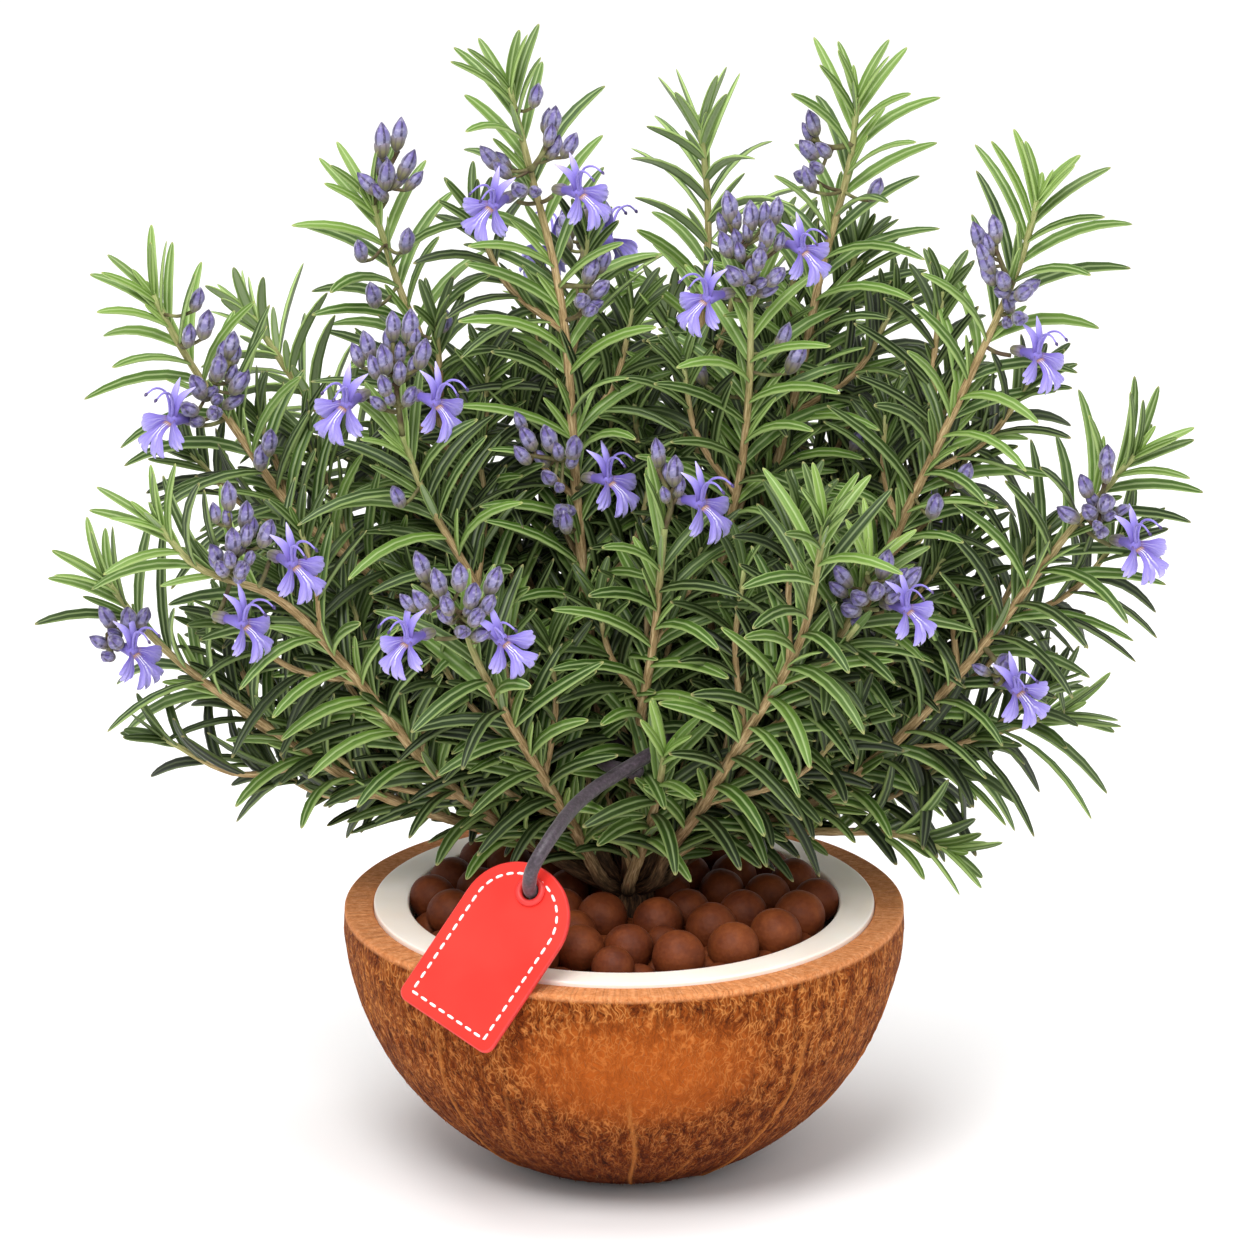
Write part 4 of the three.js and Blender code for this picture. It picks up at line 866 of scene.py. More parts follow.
# Rosemary bark, dry and matt: dark in its cracks and pale on its flakes, so that
# old wood looks rough. Its ribs are 0.6 mm wide and 4.5 mm long.
rosemary_bark, tree, shader = new_material("rosemary_stem_bark", {
    "Roughness": 0.8, "Specular IOR Level": 0.25})
stem_age, rib_x, rib_y, run_mm = (
    add_node(tree, "ShaderNodeAttribute", {"attribute_name": mark}).outputs["Fac"]
    for mark in ("age", "rib_x", "rib_y", "run"))
rib_place = add_node(tree, "ShaderNodeCombineXYZ", {}, {"X": rib_x, "Y": rib_y, "Z": run_mm})
rib_stretch = add_node(tree, "ShaderNodeVectorMath", {
    "operation": "MULTIPLY", 1: (1.6, 1.6, 0.22)}, {0: rib_place})
ribs = add_node(tree, "ShaderNodeTexNoise", {"Scale": 1.0, "Detail": 4.0, "Roughness": 0.7},
                {"Vector": rib_stretch})
# The old tint is partly painted shade, darker than the old bark alone, for the crown and the stems'
# feet.
young_tint, old_bark_and_shade_tint, green_tint = (
    add_node(tree, "ShaderNodeValToRGB", {"stops": stops}, {"Fac": ribs})
    for stops in ([(0.34, "#6e5836"), (0.5, "#a58a60"), (0.66, "#cdb68b")],
                  [(0.36, "#1e120b"), (0.5, "#48301f"), (0.66, "#7d5b3c")],
                  [(0.3, "#7f8a4a"), (0.7, "#b4bb80")]))
# Bark turns from old to young over the stem's lower third, and green at its tip.
# The dark old bark there is partly painted shade.
age_share, tip_share = (
    add_node(tree, "ShaderNodeMapRange", {"From Min": first, "From Max": last},
             {"Value": stem_age})
    for first, last in ((0.04, 0.38), (0.78, 1.0)))
stem_colour = old_bark_and_shade_tint
for share, tint in ((age_share, young_tint), (tip_share, green_tint)):
    stem_colour = add_node(tree, "ShaderNodeMix", {"data_type": "RGBA"}, {
        0: share, 6: stem_colour, 7: tint})
rib_relief = add_node(tree, "ShaderNodeBump", {"Strength": 0.6, "Distance": 0.0004},
                      {"Height": ribs})
colour_skin(shader, stem_colour, rib_relief)

crown_profile = [
    (0.02, CROWN_FOOT), (5.0, CROWN_FOOT), (6.0, 52.0), (CROWN_NECK, 60.0)]
crown_profile += [(CROWN_NECK * math.cos(a), CROWN_MIDDLE[2] + CROWN_NECK * math.sin(a))
                  for a in np.linspace(0, math.pi / 2 - 0.01, 16)]
crown_points, crown_faces, _ = turned(crown_profile, 72)
crown_bearing = np.arctan2(crown_points[:, 1], crown_points[:, 0])
knots = np.array([noise.noise(Vector((2.2 * math.cos(b), 2.2 * math.sin(b), p[2] * 0.22)))
                  for b, p in zip(crown_bearing, crown_points)])
crown_points[:, :2] *= (1 + CROWN_UNEVEN * knots * (crown_points[:, 2] > 50))[:, None]
# With age 0 the crown is all old tint, painted shade included.
crown_marks = {
    "age": np.zeros(len(crown_points)), "rib_x": crown_points[:, 0],
    "rib_y": crown_points[:, 1], "run": crown_points[:, 2]}
crown_points[:, :2] += CROWN_MIDDLE[:2]
crown_stump = build_piece(
    "crown_stump", [(crown_points, crown_faces, crown_marks, rosemary_bark)])
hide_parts("woody_crown")

# ---- Rosemary sprigs ----
# Each stem carries crossed pairs of narrow leathery leaves with rolled-under
# edges: deep green above with a pale groove, grey-green and downy beneath,
# yellow-green where young. Short side shoots fill the middle; their leaves are
# painted darker as shade inside the plant, and leaves are painted lighter high
# up and darker low down.

# A rosemary leaf, thick and waxy by nature: a soft shine on deep green, clouded
# by 4 mm, with a paler groove and margins that are partly painted highlights.
# Its tone carries painted light and shade, and the pale lines show less on the
# leaves it darkens inside the plant.
leaf_blade, tree, shader = new_material("leathery_rosemary_leaf", {
    "Roughness": 0.42, "Specular IOR Level": 0.32})
leaf_across, leaf_along, leaf_under, leaf_young, leaf_tone_and_shade = (
    add_node(tree, "ShaderNodeAttribute", {"attribute_name": mark}).outputs["Fac"]
    for mark in ("across", "along", "under", "young", "tone"))
object_place = add_node(tree, "ShaderNodeTexCoord", {}).outputs["Object"]
leaf_clouds = add_node(tree, "ShaderNodeTexNoise", {"Scale": 260.0, "Detail": 3.0},
                       {"Vector": object_place})
# A leaf's tone is random, with painted light and shade added: darker on side shoots and low down,
# lighter high up.
tone_mix = add_node(tree, "ShaderNodeMath", {"operation": "MULTIPLY_ADD", 1: 0.35}, {
    0: leaf_clouds, 2: leaf_tone_and_shade})
grown_tint = add_node(tree, "ShaderNodeValToRGB", {"stops": [
    (0.1, "#131f07"), (0.4, "#243a0c"), (0.7, "#3f5e1c"), (1.0, "#5f7f30")]},
    {"Fac": tone_mix})
young_leaf = add_node(tree, "ShaderNodeValToRGB", {"stops": [
    (0.2, "#5f7f30"), (0.8, "#8ca852")]}, {"Fac": tone_mix})
leaf_colour = add_node(tree, "ShaderNodeMix", {"data_type": "RGBA"}, {
    0: leaf_young, 6: grown_tint, 7: young_leaf})
middle_line = add_node(tree, "ShaderNodeMath", {"operation": "ABSOLUTE"}, {0: leaf_across})
# Paler groove and margin lines, partly the leaf's own and partly painted highlights. They fade on
# leaves darkened by painted shade.
pale_lines_and_highlights = [
    # colour, where across the leaf it starts and is full, its least and greatest share
    ("#b3c68c", 0.24, 0.04, 0.15, 0.62),
    ("#a4bc74", 0.68, 0.94, 0.25, 0.95),
]
for colour, start, full, least, greatest in pale_lines_and_highlights:
    line_share = add_node(tree, "ShaderNodeMapRange", {
        "From Min": -0.3, "From Max": 0.5, "To Min": least, "To Max": greatest},
        {"Value": leaf_tone_and_shade})
    line = add_node(tree, "ShaderNodeMapRange", {"From Min": start, "From Max": full},
                    {"Value": middle_line})
    line = add_node(tree, "ShaderNodeMath", {"operation": "MULTIPLY"}, {0: line, 1: line_share})
    leaf_colour = add_node(tree, "ShaderNodeMix", {"data_type": "RGBA", 7: linear(colour)}, {
        0: line, 6: leaf_colour})
# Grey down fills the hollow underside, and the tip is dry and straw-coloured.
down_strip = add_node(tree, "ShaderNodeMapRange", {
    "From Min": 0.72, "From Max": 0.42, "To Max": 0.9}, {"Value": middle_line})
under_share = add_node(tree, "ShaderNodeMath", {"operation": "MULTIPLY"}, {
    0: down_strip, 1: leaf_under})
tip_share = add_node(tree, "ShaderNodeMapRange", {
    "From Min": 0.96, "From Max": 1.0, "To Max": 0.4}, {"Value": leaf_along})
for share, colour in ((under_share, "#9aab82"), (tip_share, "#c9b878")):
    leaf_colour = add_node(tree, "ShaderNodeMix", {"data_type": "RGBA", 7: linear(colour)}, {
        0: share, 6: leaf_colour})
leaf_relief = add_node(tree, "ShaderNodeBump", {"Strength": 0.2, "Distance": 0.0002},
                       {"Height": leaf_clouds})
colour_skin(shader, leaf_colour, leaf_relief)

# Name, the height angle and bearing at which a stem leaves the crown in degrees,
# the points that it passes in mm, and the points of its side branch.
sprigs = [
    ("far_left", (31, 172), [(-30, 3, 81), (-59, 0, 92), (-84, 0, 108), (-111, 4, 128),
                             (-127, 8, 147)], None),
    ("left_low", (31, 205), [(-25, -2, 82), (-45, -9, 100), (-64, -14, 126), (-83, -19, 148),
                             (-102, -22, 157), (-113, -24, 171)], None),
    ("front_left", (31, 238), [(-13, -14, 90), (-24, -25, 113), (-35, -36, 138),
                               (-39, -40, 151)], None),
    ("young_shoot", (31, 271), [(5, -11, 84), (8, -21, 99), (10, -28, 114)], None),
    ("front_right", (31, 304), [(10, -8, 79), (18, -15, 93), (28, -25, 114), (42, -38, 144),
                                (48, -50, 180)], None),
    ("right_spike", (31, 337), [(17, -3, 83), (30, -9, 102), (42, -15, 124), (54, -20, 143),
                                (59, -22, 159)], None),
    ("far_right", (31, 10), [(23, 4, 79), (42, 3, 87), (61, 1, 101), (85, 0, 128), (106, -4, 159),
                             (125, -8, 184)], None),
    ("right_low", (31, 43), [(28, 14, 77), (56, 19, 86), (81, 22, 97), (109, 28, 104)],
     [(30, 14, 77.5), (48, 7, 80), (66, 5, 80), (78, 3, 77)]),
    ("back_right_low", (31, 76), [(18, 24, 86), (42, 46, 103), (64, 62, 124), (80, 72, 146)], None),
    ("back_low", (31, 109), [(-2, 26, 86), (-6, 50, 106), (-8, 74, 130), (-10, 90, 156)], None),
    ("back_left_low", (31, 141), [(-18, 20, 84), (-44, 38, 100), (-68, 54, 122),
                                  (-88, 62, 146)], None),
    ("left_high", (54, 180), [(-15, 7, 93), (-35, 10, 116), (-54, 12, 138), (-77, 12, 157),
                              (-93, 12, 180), (-106, 14, 200), (-114, 14, 216)], None),
    ("left_mid", (54, 225), [(-9, -2, 92), (-21, -6, 118), (-36, -9, 149), (-48, -10, 172),
                             (-54, -11, 190)], None),
    ("centre", (54, 270), [(2, -5, 93), (4, -11, 115), (7, -17, 136), (9, -22, 159),
                           (10, -23, 170)], None),
    ("centre_spike", (54, 315), [(11, 2, 92), (19, 2, 126), (25, 0, 159), (28, -2, 175),
                                 (30, -4, 199), (30, -6, 223)], None),
    ("upper_right", (54, 0), [(18, 7, 90), (34, 4, 108), (53, -2, 132), (67, -5, 164),
                              (80, -7, 194), (94, -8, 228), (99, -8, 247)], None),
    ("right_back", (54, 45), [(17, 16, 97), (30, 25, 124), (47, 40, 156), (59, 48, 178)],
     [(30, 24.5, 123), (30, 40, 150), (34, 54, 182), (36, 62, 212)]),
    ("back_high", (54, 90), [(0, 18, 98), (-4, 32, 130), (-8, 46, 170), (-10, 58, 212)], None),
    ("upper_left", (54, 135), [(-11, 13, 93), (-26, 18, 126), (-40, 20, 161), (-48, 25, 197),
                               (-54, 28, 211), (-61, 30, 234)],
     [(-26, 18, 126), (-52, 34, 152), (-76, 42, 178), (-90, 47, 198)]),
    ("tall_left", (76, 232), [(-3, 2, 92), (-7, 1, 119), (-11, 2, 161), (-15, 6, 214),
                              (-23, 8, 249), (-28, 8, 270)], None),
    ("tall_right", (76, 352), [(7, 6, 95), (20, 9, 129), (34, 12, 163), (43, 16, 197),
                               (47, 18, 217), (54, 20, 245), (56, 20, 264)], None),
    ("centre_back", (76, 112), [(3, 9, 99), (8, 16, 136), (16, 25, 179), (20, 34, 216),
                                (20, 36, 232), (18, 36, 251)], None),
]

# Flower heads, used here so that no leaf grows through or in front of one: name,
# stem, whether it ends the stem, open flowers and buds, in mm.
flower_heads = [
    ("far_left", "far_left", False, [(-118, -3, 128)],
     [(-124, -1, 137), (-122, -4, 132), (-119, -2, 137)]),
    ("left_low", "left_low", False, [(-79, -30, 159), (-91, -30, 144)],
     [(-94, -30, 177), (-90, -29, 172), (-93, -31, 166), (-97, -29, 162), (-91, -31, 159),
      (-85, -31, 168)]),
    ("front_left", "front_left", True, [(-51, -46, 145), (-29, -46, 145)],
     [(-48, -44, 164), (-44, -47, 161), (-48, -46, 156), (-39, -49, 163), (-36, -48, 158),
      (-31, -46, 161), (-42, -49, 156), (-35, -49, 153)]),
    ("left_mid", "left_mid", True, [(-66, -15, 194), (-45, -20, 196)],
     [(-61, -13, 209), (-57, -17, 207), (-55, -13, 214), (-51, -13, 214), (-48, -16, 208),
      (-57, -19, 201)]),
    ("left_high", "left_high", False, [(-108, 4, 184)],
     [(-102, 6, 193), (-104, 4, 188), (-98, 4, 187), (-92, 6, 194), (-97, 5, 198), (-94, 7, 203)]),
    ("upper_left", "upper_left", True, [],
     [(-58, 27, 248), (-54, 29, 249), (-52, 27, 242), (-57, 25, 240)]),
    ("tall_left_top", "tall_left", False, [(-11, 0, 242), (-31, 0, 239)],
     [(-17, 3, 260), (-13, 3, 254), (-32, 3, 251), (-25, 0, 244)]),
    ("tall_left_side", "tall_left", False, [], [(-8, 0, 224), (-6, 0, 219), (-10, -2, 217)]),
    ("tall_left_low", "tall_left", False, [(-4, -9, 173)],
     [(-23, -7, 184), (-18, -7, 184), (-12, -8, 182), (-18, -9, 175), (-15, -8, 166)]),
    ("centre", "centre", True, [(18, -27, 173)], [(8, -24, 186), (12, -26, 182)]),
    ("centre_spike", "centre_spike", True, [(42, -10, 231), (20, -14, 220)],
     [(25, -8, 242), (30, -9, 240), (24, -12, 234), (36, -8, 241), (34, -13, 237), (32, -14, 231),
      (26, -14, 227), (36, -12, 226)]),
    ("tall_right", "tall_right", False, [], [(45, 15, 256), (44, 13, 250), (43, 14, 243)]),
    ("upper_right", "upper_right", False, [(98, -15, 206)],
     [(84, -12, 236), (88, -13, 238), (86, -14, 230), (90, -15, 226), (95, -15, 223),
      (94, -16, 217)]),
    ("right_spike", "right_spike", False, [(67, -28, 147)],
     [(52, -27, 156), (56, -28, 151), (62, -27, 159), (68, -26, 155), (60, -29, 153),
      (54, -28, 148)]),
    ("far_right", "far_right", False, [(122, -13, 158)],
     [(115, -14, 181), (110, -13, 174), (106, -13, 167), (111, -14, 168), (115, -14, 170),
      (114, -14, 163)]),
    ("far_right_low", "far_right", False, [(94, -8, 120)], [(91, -6, 127)]),
    ("back", "back_high", True, [(-17, 70, 206), (-4, 71, 208)],
     [(-10, 67, 219), (-14, 69, 214), (-6, 70, 217)]),
    ("back_right", "back_right_low", False, [(76, 74, 136)], [(70, 72, 142), (76, 78, 143)]),
]

CROWN_RADIUS = 7.0
STEM_STRAIGHT = 6.0
STEM_SIDES = 12
LEAF_JOINT_PITCH = 5.4
RIB_RADIUS = 1.7  # the bark's pattern is laid round a stem of this radius


def on_crown(seat, reach):
    """A point that far from the crown's middle, by height angle and bearing."""
    height, bearing = (math.radians(v) for v in seat)
    return CROWN_MIDDLE + reach * np.array([
        math.cos(height) * math.cos(bearing), math.cos(height) * math.sin(bearing),
        math.sin(height)])


def stem_solid(path, base_radius, tip_radius, age_first, age_last):
    """A stem along a path, swollen a little at its leaf joints."""
    run = run_along(path)
    share = run / run[-1]
    radii = base_radius + (tip_radius - base_radius) * share**0.8
    radii = radii * (1 + 0.05 * np.cos(run / LEAF_JOINT_PITCH * 2 * math.pi))
    points, faces, marks = sweep(path[None], (0.1, -1, 0.15), ring_section(STEM_SIDES), radii)
    rib_ring = np.tile(ring_section(STEM_SIDES), (len(path), 1))
    marks["rib_x"] = RIB_RADIUS * rib_ring[:, 0]
    marks["rib_y"] = RIB_RADIUS * rib_ring[:, 1]
    marks["run"] = np.repeat(run + path[0, 0] * 3, STEM_SIDES)
    marks["age"] = np.repeat(age_first + (age_last - age_first) * share, STEM_SIDES)
    return points, faces, marks, rosemary_bark


# The leaf's section: rounded upper halves beside a groove, edges rolled under,
# and a hollow underside with a midrib. Its last column marks the underside.
half_section = [
    (0.14, 0.24, 0), (0.5, 0.34, 0), (0.86, 0.16, 0), (0.98, -0.1, 0), (0.86, -0.3, 1),
    (0.5, -0.2, 1), (0.16, -0.06, 1)]
leaf_section = np.array([(0, 0.14, 0), *half_section, (0, -0.2, 1),
                         *[(-x, y, under) for x, y, under in half_section[::-1]]])
# Shares of a leaf's length, and how wide it is there.
LEAF_SHARES = np.array([0, 0.05, 0.16, 0.32, 0.5, 0.68, 0.84, 0.94, 0.985, 1.0])
LEAF_OUTLINE = np.array([0.4, 0.62, 0.86, 1, 1, 0.92, 0.74, 0.48, 0.26, 0.08])
corolla_points = np.array([p for head in flower_heads for p in head[3]], float)
bud_points = np.array([p for head in flower_heads for p in head[4]], float)
view_ray = np.array([0, -math.cos(VIEW_TILT), math.sin(VIEW_TILT)])

# Where leaves may not grow. Leaves are narrow, so the room is from their middle lines.
BACK_STEMS_Y = 34
ABOVE_RIM, OUTSIDE_BOWL, BELOW_ALL = 72.5, 72, 66
HEM_HEIGHT, HEM_SLOPE, HEM_BEND_X, HEM_FIRST_X = 75.2, 0.578, -87, -48
PEBBLE_VIEW_TOP = 66
FLOWER_ROOM, BUD_ROOM, CORD_ROOM, LOOP_ROOM, TAG_ROOM = 7.2, 2.6, 3.2, 2.6, 2.5
CORD_SHOWS = 74  # the cord's point from which it shows in front of the leaves


def before(points, targets, radius, reach):
    """Whether any point lies within the radius of a target, or in front of it in the view."""
    away = points[:, :, None] - targets
    depth = (away * view_ray).sum(-1)
    side = np.linalg.norm(away - depth[..., None] * view_ray, axis=-1)
    return ((side < radius) & (depth > -radius) & (depth < reach)).any(axis=(1, 2))


def grow_leaves(root, axis, out, length, width, first_angle, last_angle, hang, young, tone, rng):
    """Leaves from arrays of roots, stem directions and outward directions.

    Leaves that have no room, or would hide a flower, the tag or the cord, are left out.
    """
    between = (LEAF_SHARES[1:] + LEAF_SHARES[:-1]) / 2
    angles = first_angle[:, None] + (last_angle - first_angle)[:, None] * between**0.7
    steps = np.cos(angles)[..., None] * axis[:, None] + np.sin(angles)[..., None] * out[:, None]
    steps = steps * (np.diff(LEAF_SHARES) * length[:, None])[..., None]
    steps = np.concatenate([np.zeros_like(steps[:, :1]), np.cumsum(steps, axis=1)], axis=1)
    paths = root[:, None] + steps
    paths[:, :, 2] -= (hang * length)[:, None] * LEAF_SHARES**2
    side = unit(np.cross(out, axis))
    sway = rng.normal(0, 0.06, len(root))
    paths = paths + side[:, None] * ((sway * length)[:, None] * LEAF_SHARES**2)[..., None]
    # A leaf twists at its foot until its upper face looks half up the stem and
    # half outward, to the front or to the back.
    reach = unit(paths[:, -1] - paths[:, 0])
    outward = np.where(root[:, 1:2] > BACK_STEMS_Y, view_ray * (1, -1, 1), view_ray)
    face = unit(np.cross(side, reach)) + outward * rng.uniform(0.8, 1.7, len(root))[:, None]
    across = np.cross(reach, face) + rng.normal(0, 0.1, side.shape)
    x, y, z = np.moveaxis(paths, -1, 0)
    radius = np.linalg.norm(paths[:, :, :2], axis=-1)
    low = ((z < ABOVE_RIM) & (radius < OUTSIDE_BOWL)) | (z < BELOW_ALL)
    view_height = paths @ np.array([0, math.sin(VIEW_TILT), math.cos(VIEW_TILT)])
    # The lowest leaves on the left end along a slanting line above the rim.
    hem = HEM_HEIGHT + HEM_SLOPE * np.maximum(0, HEM_BEND_X - x)
    low |= (view_height < hem) & (x < HEM_FIRST_X)
    over_pebbles = (view_height < PEBBLE_VIEW_TOP) & (np.abs(x) < 50) & (y < 20)
    local = paths - tag_origin
    over_tag = ((np.abs(local @ tag_across - TAG_MIDDLE) < TAG_WIDTH / 2 + TAG_ROOM)
                & (local @ tag_up > TAG_BOTTOM - 3)
                & (local @ tag_up < TAG_BOTTOM + TAG_LENGTH + TAG_ROOM)
                & (local @ tag_face > -5))
    blocked = (low | over_pebbles | over_tag).any(axis=1)
    blocked |= before(paths[:, 1:], corolla_points, FLOWER_ROOM, 45.0)
    blocked |= before(paths[:, 1:], bud_points, BUD_ROOM, 30.0)
    blocked |= before(paths, cord_points[CORD_SHOWS::5], CORD_ROOM, 60.0)
    blocked |= before(paths, cord_points[:CORD_SHOWS:5], LOOP_ROOM, LOOP_ROOM)
    keep = ~blocked
    if not keep.any():
        return None
    points, faces, marks = sweep(
        paths[keep], across[keep][:, None], leaf_section[:, :2],
        (width / 2)[keep][:, None] * LEAF_OUTLINE,
        marks={"tone": tone[keep], "young": young[keep]})
    marks["under"] = np.tile(leaf_section[:, 2], keep.sum() * len(LEAF_SHARES))
    marks["along"] = np.tile(np.repeat(LEAF_SHARES, len(leaf_section)), keep.sum())
    return points, faces, marks, leaf_blade


LEAST_LEAF_PITCH = 1.3
CLOSER_LEAVES, TIP_STRETCH = 20, 16  # how far below its tip a stem's leaves change


def leafy_stem(path, first, pitch, leaf_length, freshness, tones, axil_share, rng):
    """The leaves of one stem, in crossed pairs from a distance up it to its tip."""
    run = run_along(path)
    total = run[-1]
    places = [first]
    while places[-1] < total - 0.5:
        left = total - places[-1]
        step = pitch * min(1.0, 0.3 + left / CLOSER_LEAVES)
        places.append(places[-1] + max(LEAST_LEAF_PITCH, step))
    places = np.minimum(np.array(places), total - 0.3)
    n = len(places)
    root = points_at(places, run, path)
    ahead = points_at(np.minimum(places + 2, total), run, path)
    axis = unit(ahead - points_at(places - 3, run, path))
    level = unit(np.cross(axis, view_ray))
    other = np.cross(axis, level)
    # Crossed pairs stand 90 degrees apart. Seen from the front they lie at the
    # stem's sides, so that its bark shows between them.
    turn = np.arange(n) * (math.pi / 2) + math.radians(40) + rng.normal(0, 0.17, n)
    near_tip = np.clip(1 - (total - places) / TIP_STRETCH, 0, 1)
    slope = np.sqrt(np.clip(1 - axis[:, 2] ** 2, 0, 1))
    # The low leaves near the middle are shorter and broader.
    squat = np.clip((160 - root[:, 2]) / 70, 0, 1) * np.clip((90 - np.abs(root[:, 0])) / 25, 0, 1)
    sets = []
    for opposite in (0, math.pi):
        angle = turn + opposite
        out = level * np.cos(angle)[:, None] + other * np.sin(angle)[:, None]
        size = leaf_length * rng.uniform(0.86, 1.14, n) * (1 - 0.5 * near_tip) * (1 - 0.2 * squat)
        width = rng.uniform(2.9, 3.4, n) * (1 - 0.2 * near_tip) * (1 + 0.16 * squat)
        begin = np.radians(rng.uniform(32, 46, n)) * (1 - 0.55 * near_tip)
        end = np.radians(rng.uniform(64, 88, n)) * (1 - 0.5 * near_tip)
        hang = np.clip(0.1 - 0.3 * out[:, 2] * slope + rng.normal(0, 0.04, n), -0.08, 0.42)
        hang = (1 - near_tip) * hang
        young = np.clip(freshness * (0.1 + near_tip**0.8) + rng.normal(0, 0.07, n), 0, 1)
        # Painted light and shade: the tone is raised on high leaves and lowered on low ones.
        tone = rng.uniform(*tones, n) + 0.25 * np.clip((root[:, 2] - 170) / 80, -1, 0.5)
        sets.append((root, axis, out, size, width, begin, end, hang, young, tone))
        # Some axils hold a short young leaf that hugs the stem.
        small = rng.random(n) < axil_share
        twist = angle + rng.normal(0, 0.5, n)
        lean = level * np.cos(twist)[:, None] + other * np.sin(twist)[:, None]
        sets.append(tuple(v[small] for v in (
            root, axis, lean, size * rng.uniform(0.35, 0.6, n), width * 0.72, begin * 0.5,
            end * 0.5, hang * 0.2, np.clip(young + 0.3, 0, 1), tone)))
    arrays = [np.concatenate(v) for v in zip(*sets)]
    return grow_leaves(*arrays, rng)


GOLDEN_SHARE = 0.618
TIP_CUT = 2.5  # a stem ends this far below its last point, and its tip leaves reach on
MAIN_STEPS, BRANCH_STEPS, SHOOT_STEPS = 70, 50, 16
# Side shoots take darker tones: painted shade for the inside of the plant.
MAIN_TONES, SHOOT_SHADE_TONES = (0.1, 0.88), (-0.35, 0.12)
SHOOT_FIRST, SHOOT_PITCH, SHOOT_LOWEST, SHOOT_FARTHEST = 14.0, 8.5, 78, 92
stem_paths = {}
for number, (name, seat, through, branch) in enumerate(sprigs):
    rng = np.random.default_rng(100 + number)
    start = [on_crown(seat, CROWN_RADIUS - 2.5), on_crown(seat, CROWN_RADIUS + 0.3 + STEM_STRAIGHT)]
    main = smooth_path(start + [np.array(p, float) for p in through], MAIN_STEPS)
    length = np.linalg.norm(np.diff(main, axis=0), axis=1).sum()
    main = main[: int(MAIN_STEPS * (1 - TIP_CUT / length))]
    stem_paths[name] = main
    freshness = 0.75 if name in ("young_shoot", "right_spike") else 0.3
    solids = [stem_solid(main, base_radius=1.9, tip_radius=0.75, age_first=0.0, age_last=1.0)]
    leafy = [leafy_stem(
        main, first=17.0, pitch=5.3, leaf_length=32.0, freshness=freshness,
        tones=MAIN_TONES, axil_share=0.4, rng=rng)]
    if branch:
        side = smooth_path(branch, BRANCH_STEPS)
        solids.append(stem_solid(
            side, base_radius=1.2, tip_radius=0.85, age_first=0.35, age_last=1.0))
        leafy.append(leafy_stem(
            side, first=6.0, pitch=5.2, leaf_length=28.0, freshness=0.3,
            tones=MAIN_TONES, axil_share=0.4, rng=rng))
    # Short shoots on the lower and middle stretch rise behind the stem and
    # close the plant's inside. Their darker tones are painted shade.
    last_shoot = length * (0.7 if length > 90 else 0.5)
    for step, place in enumerate(np.arange(SHOOT_FIRST, last_shoot, SHOOT_PITCH)):
        at = int(place / length * (len(main) - 1))
        base = main[at]
        forward = unit(main[min(at + 2, len(main) - 1)] - main[at])
        level = unit(np.cross(forward, view_ray))
        back = np.cross(forward, level)
        back = back if back[1] > 0 else -back
        swing = math.radians(20 + 140 * ((step * GOLDEN_SHARE + number * 0.3) % 1))
        if base[1] > 20 and step % 2:
            swing = -swing
        out = level * math.cos(swing) + back * math.sin(swing)
        reach = rng.uniform(30, 52) * (1 - 0.35 * place / length)
        bend = base + reach * 0.5 * unit(forward * 0.9 + out)
        tip = bend + reach * 0.5 * unit(forward + 0.5 * out + np.array([0, 0, 0.35]))
        if min(bend[2], tip[2]) < SHOOT_LOWEST or tip[1] > SHOOT_FARTHEST:
            continue
        shoot = smooth_path([base, bend, tip], SHOOT_STEPS)
        solids.append(stem_solid(
            shoot, base_radius=0.9, tip_radius=0.65, age_first=0.45, age_last=1.0))
        leafy.append(leafy_stem(
            shoot, first=4.0, pitch=5.0, leaf_length=24.0, freshness=0.2,
            tones=SHOOT_SHADE_TONES, axil_share=0.15, rng=rng))
    solids += [leaves for leaves in leafy if leaves]
    sprig = build_piece(f"rosemary_{name}", solids)
    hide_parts(f"sprig_{name}")

# ---- Rosemary flowers ----
# Two-lipped flowers, about 15 mm: a short tube, two narrow lobes that stand up and
# back, two round side lobes, a broad hanging lip with a notched edge, and two long
# arched stamens. Buds are grey-violet ovals in ribbed cups.

# Petals are thin, soft and matt, and let a little light through. They are violet
# with a paler rim. Veins, about eleven to a lobe, bend with a noise of 2.4 mm.
petal_skin, tree, shader = new_material("soft_violet_petal", {
    "Roughness": 0.5, "Subsurface Weight": 0.1, "Subsurface Radius": (0.001, 0.001, 0.002),
    "Sheen Weight": 0.15})
petal_along, petal_across, petal_lip = (
    add_node(tree, "ShaderNodeAttribute", {"attribute_name": mark}).outputs["Fac"]
    for mark in ("along", "across", "lip"))
petal_tint = add_node(tree, "ShaderNodeValToRGB", {"stops": [
    (0.0, "#57439a"), (0.3, "#7867c1"), (0.7, "#a195e2"), (1.0, "#c0b6f5")]},
    {"Fac": petal_along})
object_place = add_node(tree, "ShaderNodeTexCoord", {}).outputs["Object"]
vein_bend = add_node(tree, "ShaderNodeTexNoise", {"Scale": 420.0, "Detail": 2.0},
                     {"Vector": object_place})
vein_place = add_node(tree, "ShaderNodeMath", {"operation": "MULTIPLY_ADD", 1: 0.5}, {
    0: vein_bend, 2: petal_across})
vein_lines = add_node(tree, "ShaderNodeMath", {"operation": "MULTIPLY", 1: 34.0},
                      {0: vein_place})
vein_wave = add_node(tree, "ShaderNodeMath", {"operation": "SINE"}, {0: vein_lines})
vein_share = add_node(tree, "ShaderNodeMapRange", {
    "From Min": 0.3, "From Max": 1.0, "To Max": 0.22}, {"Value": vein_wave})
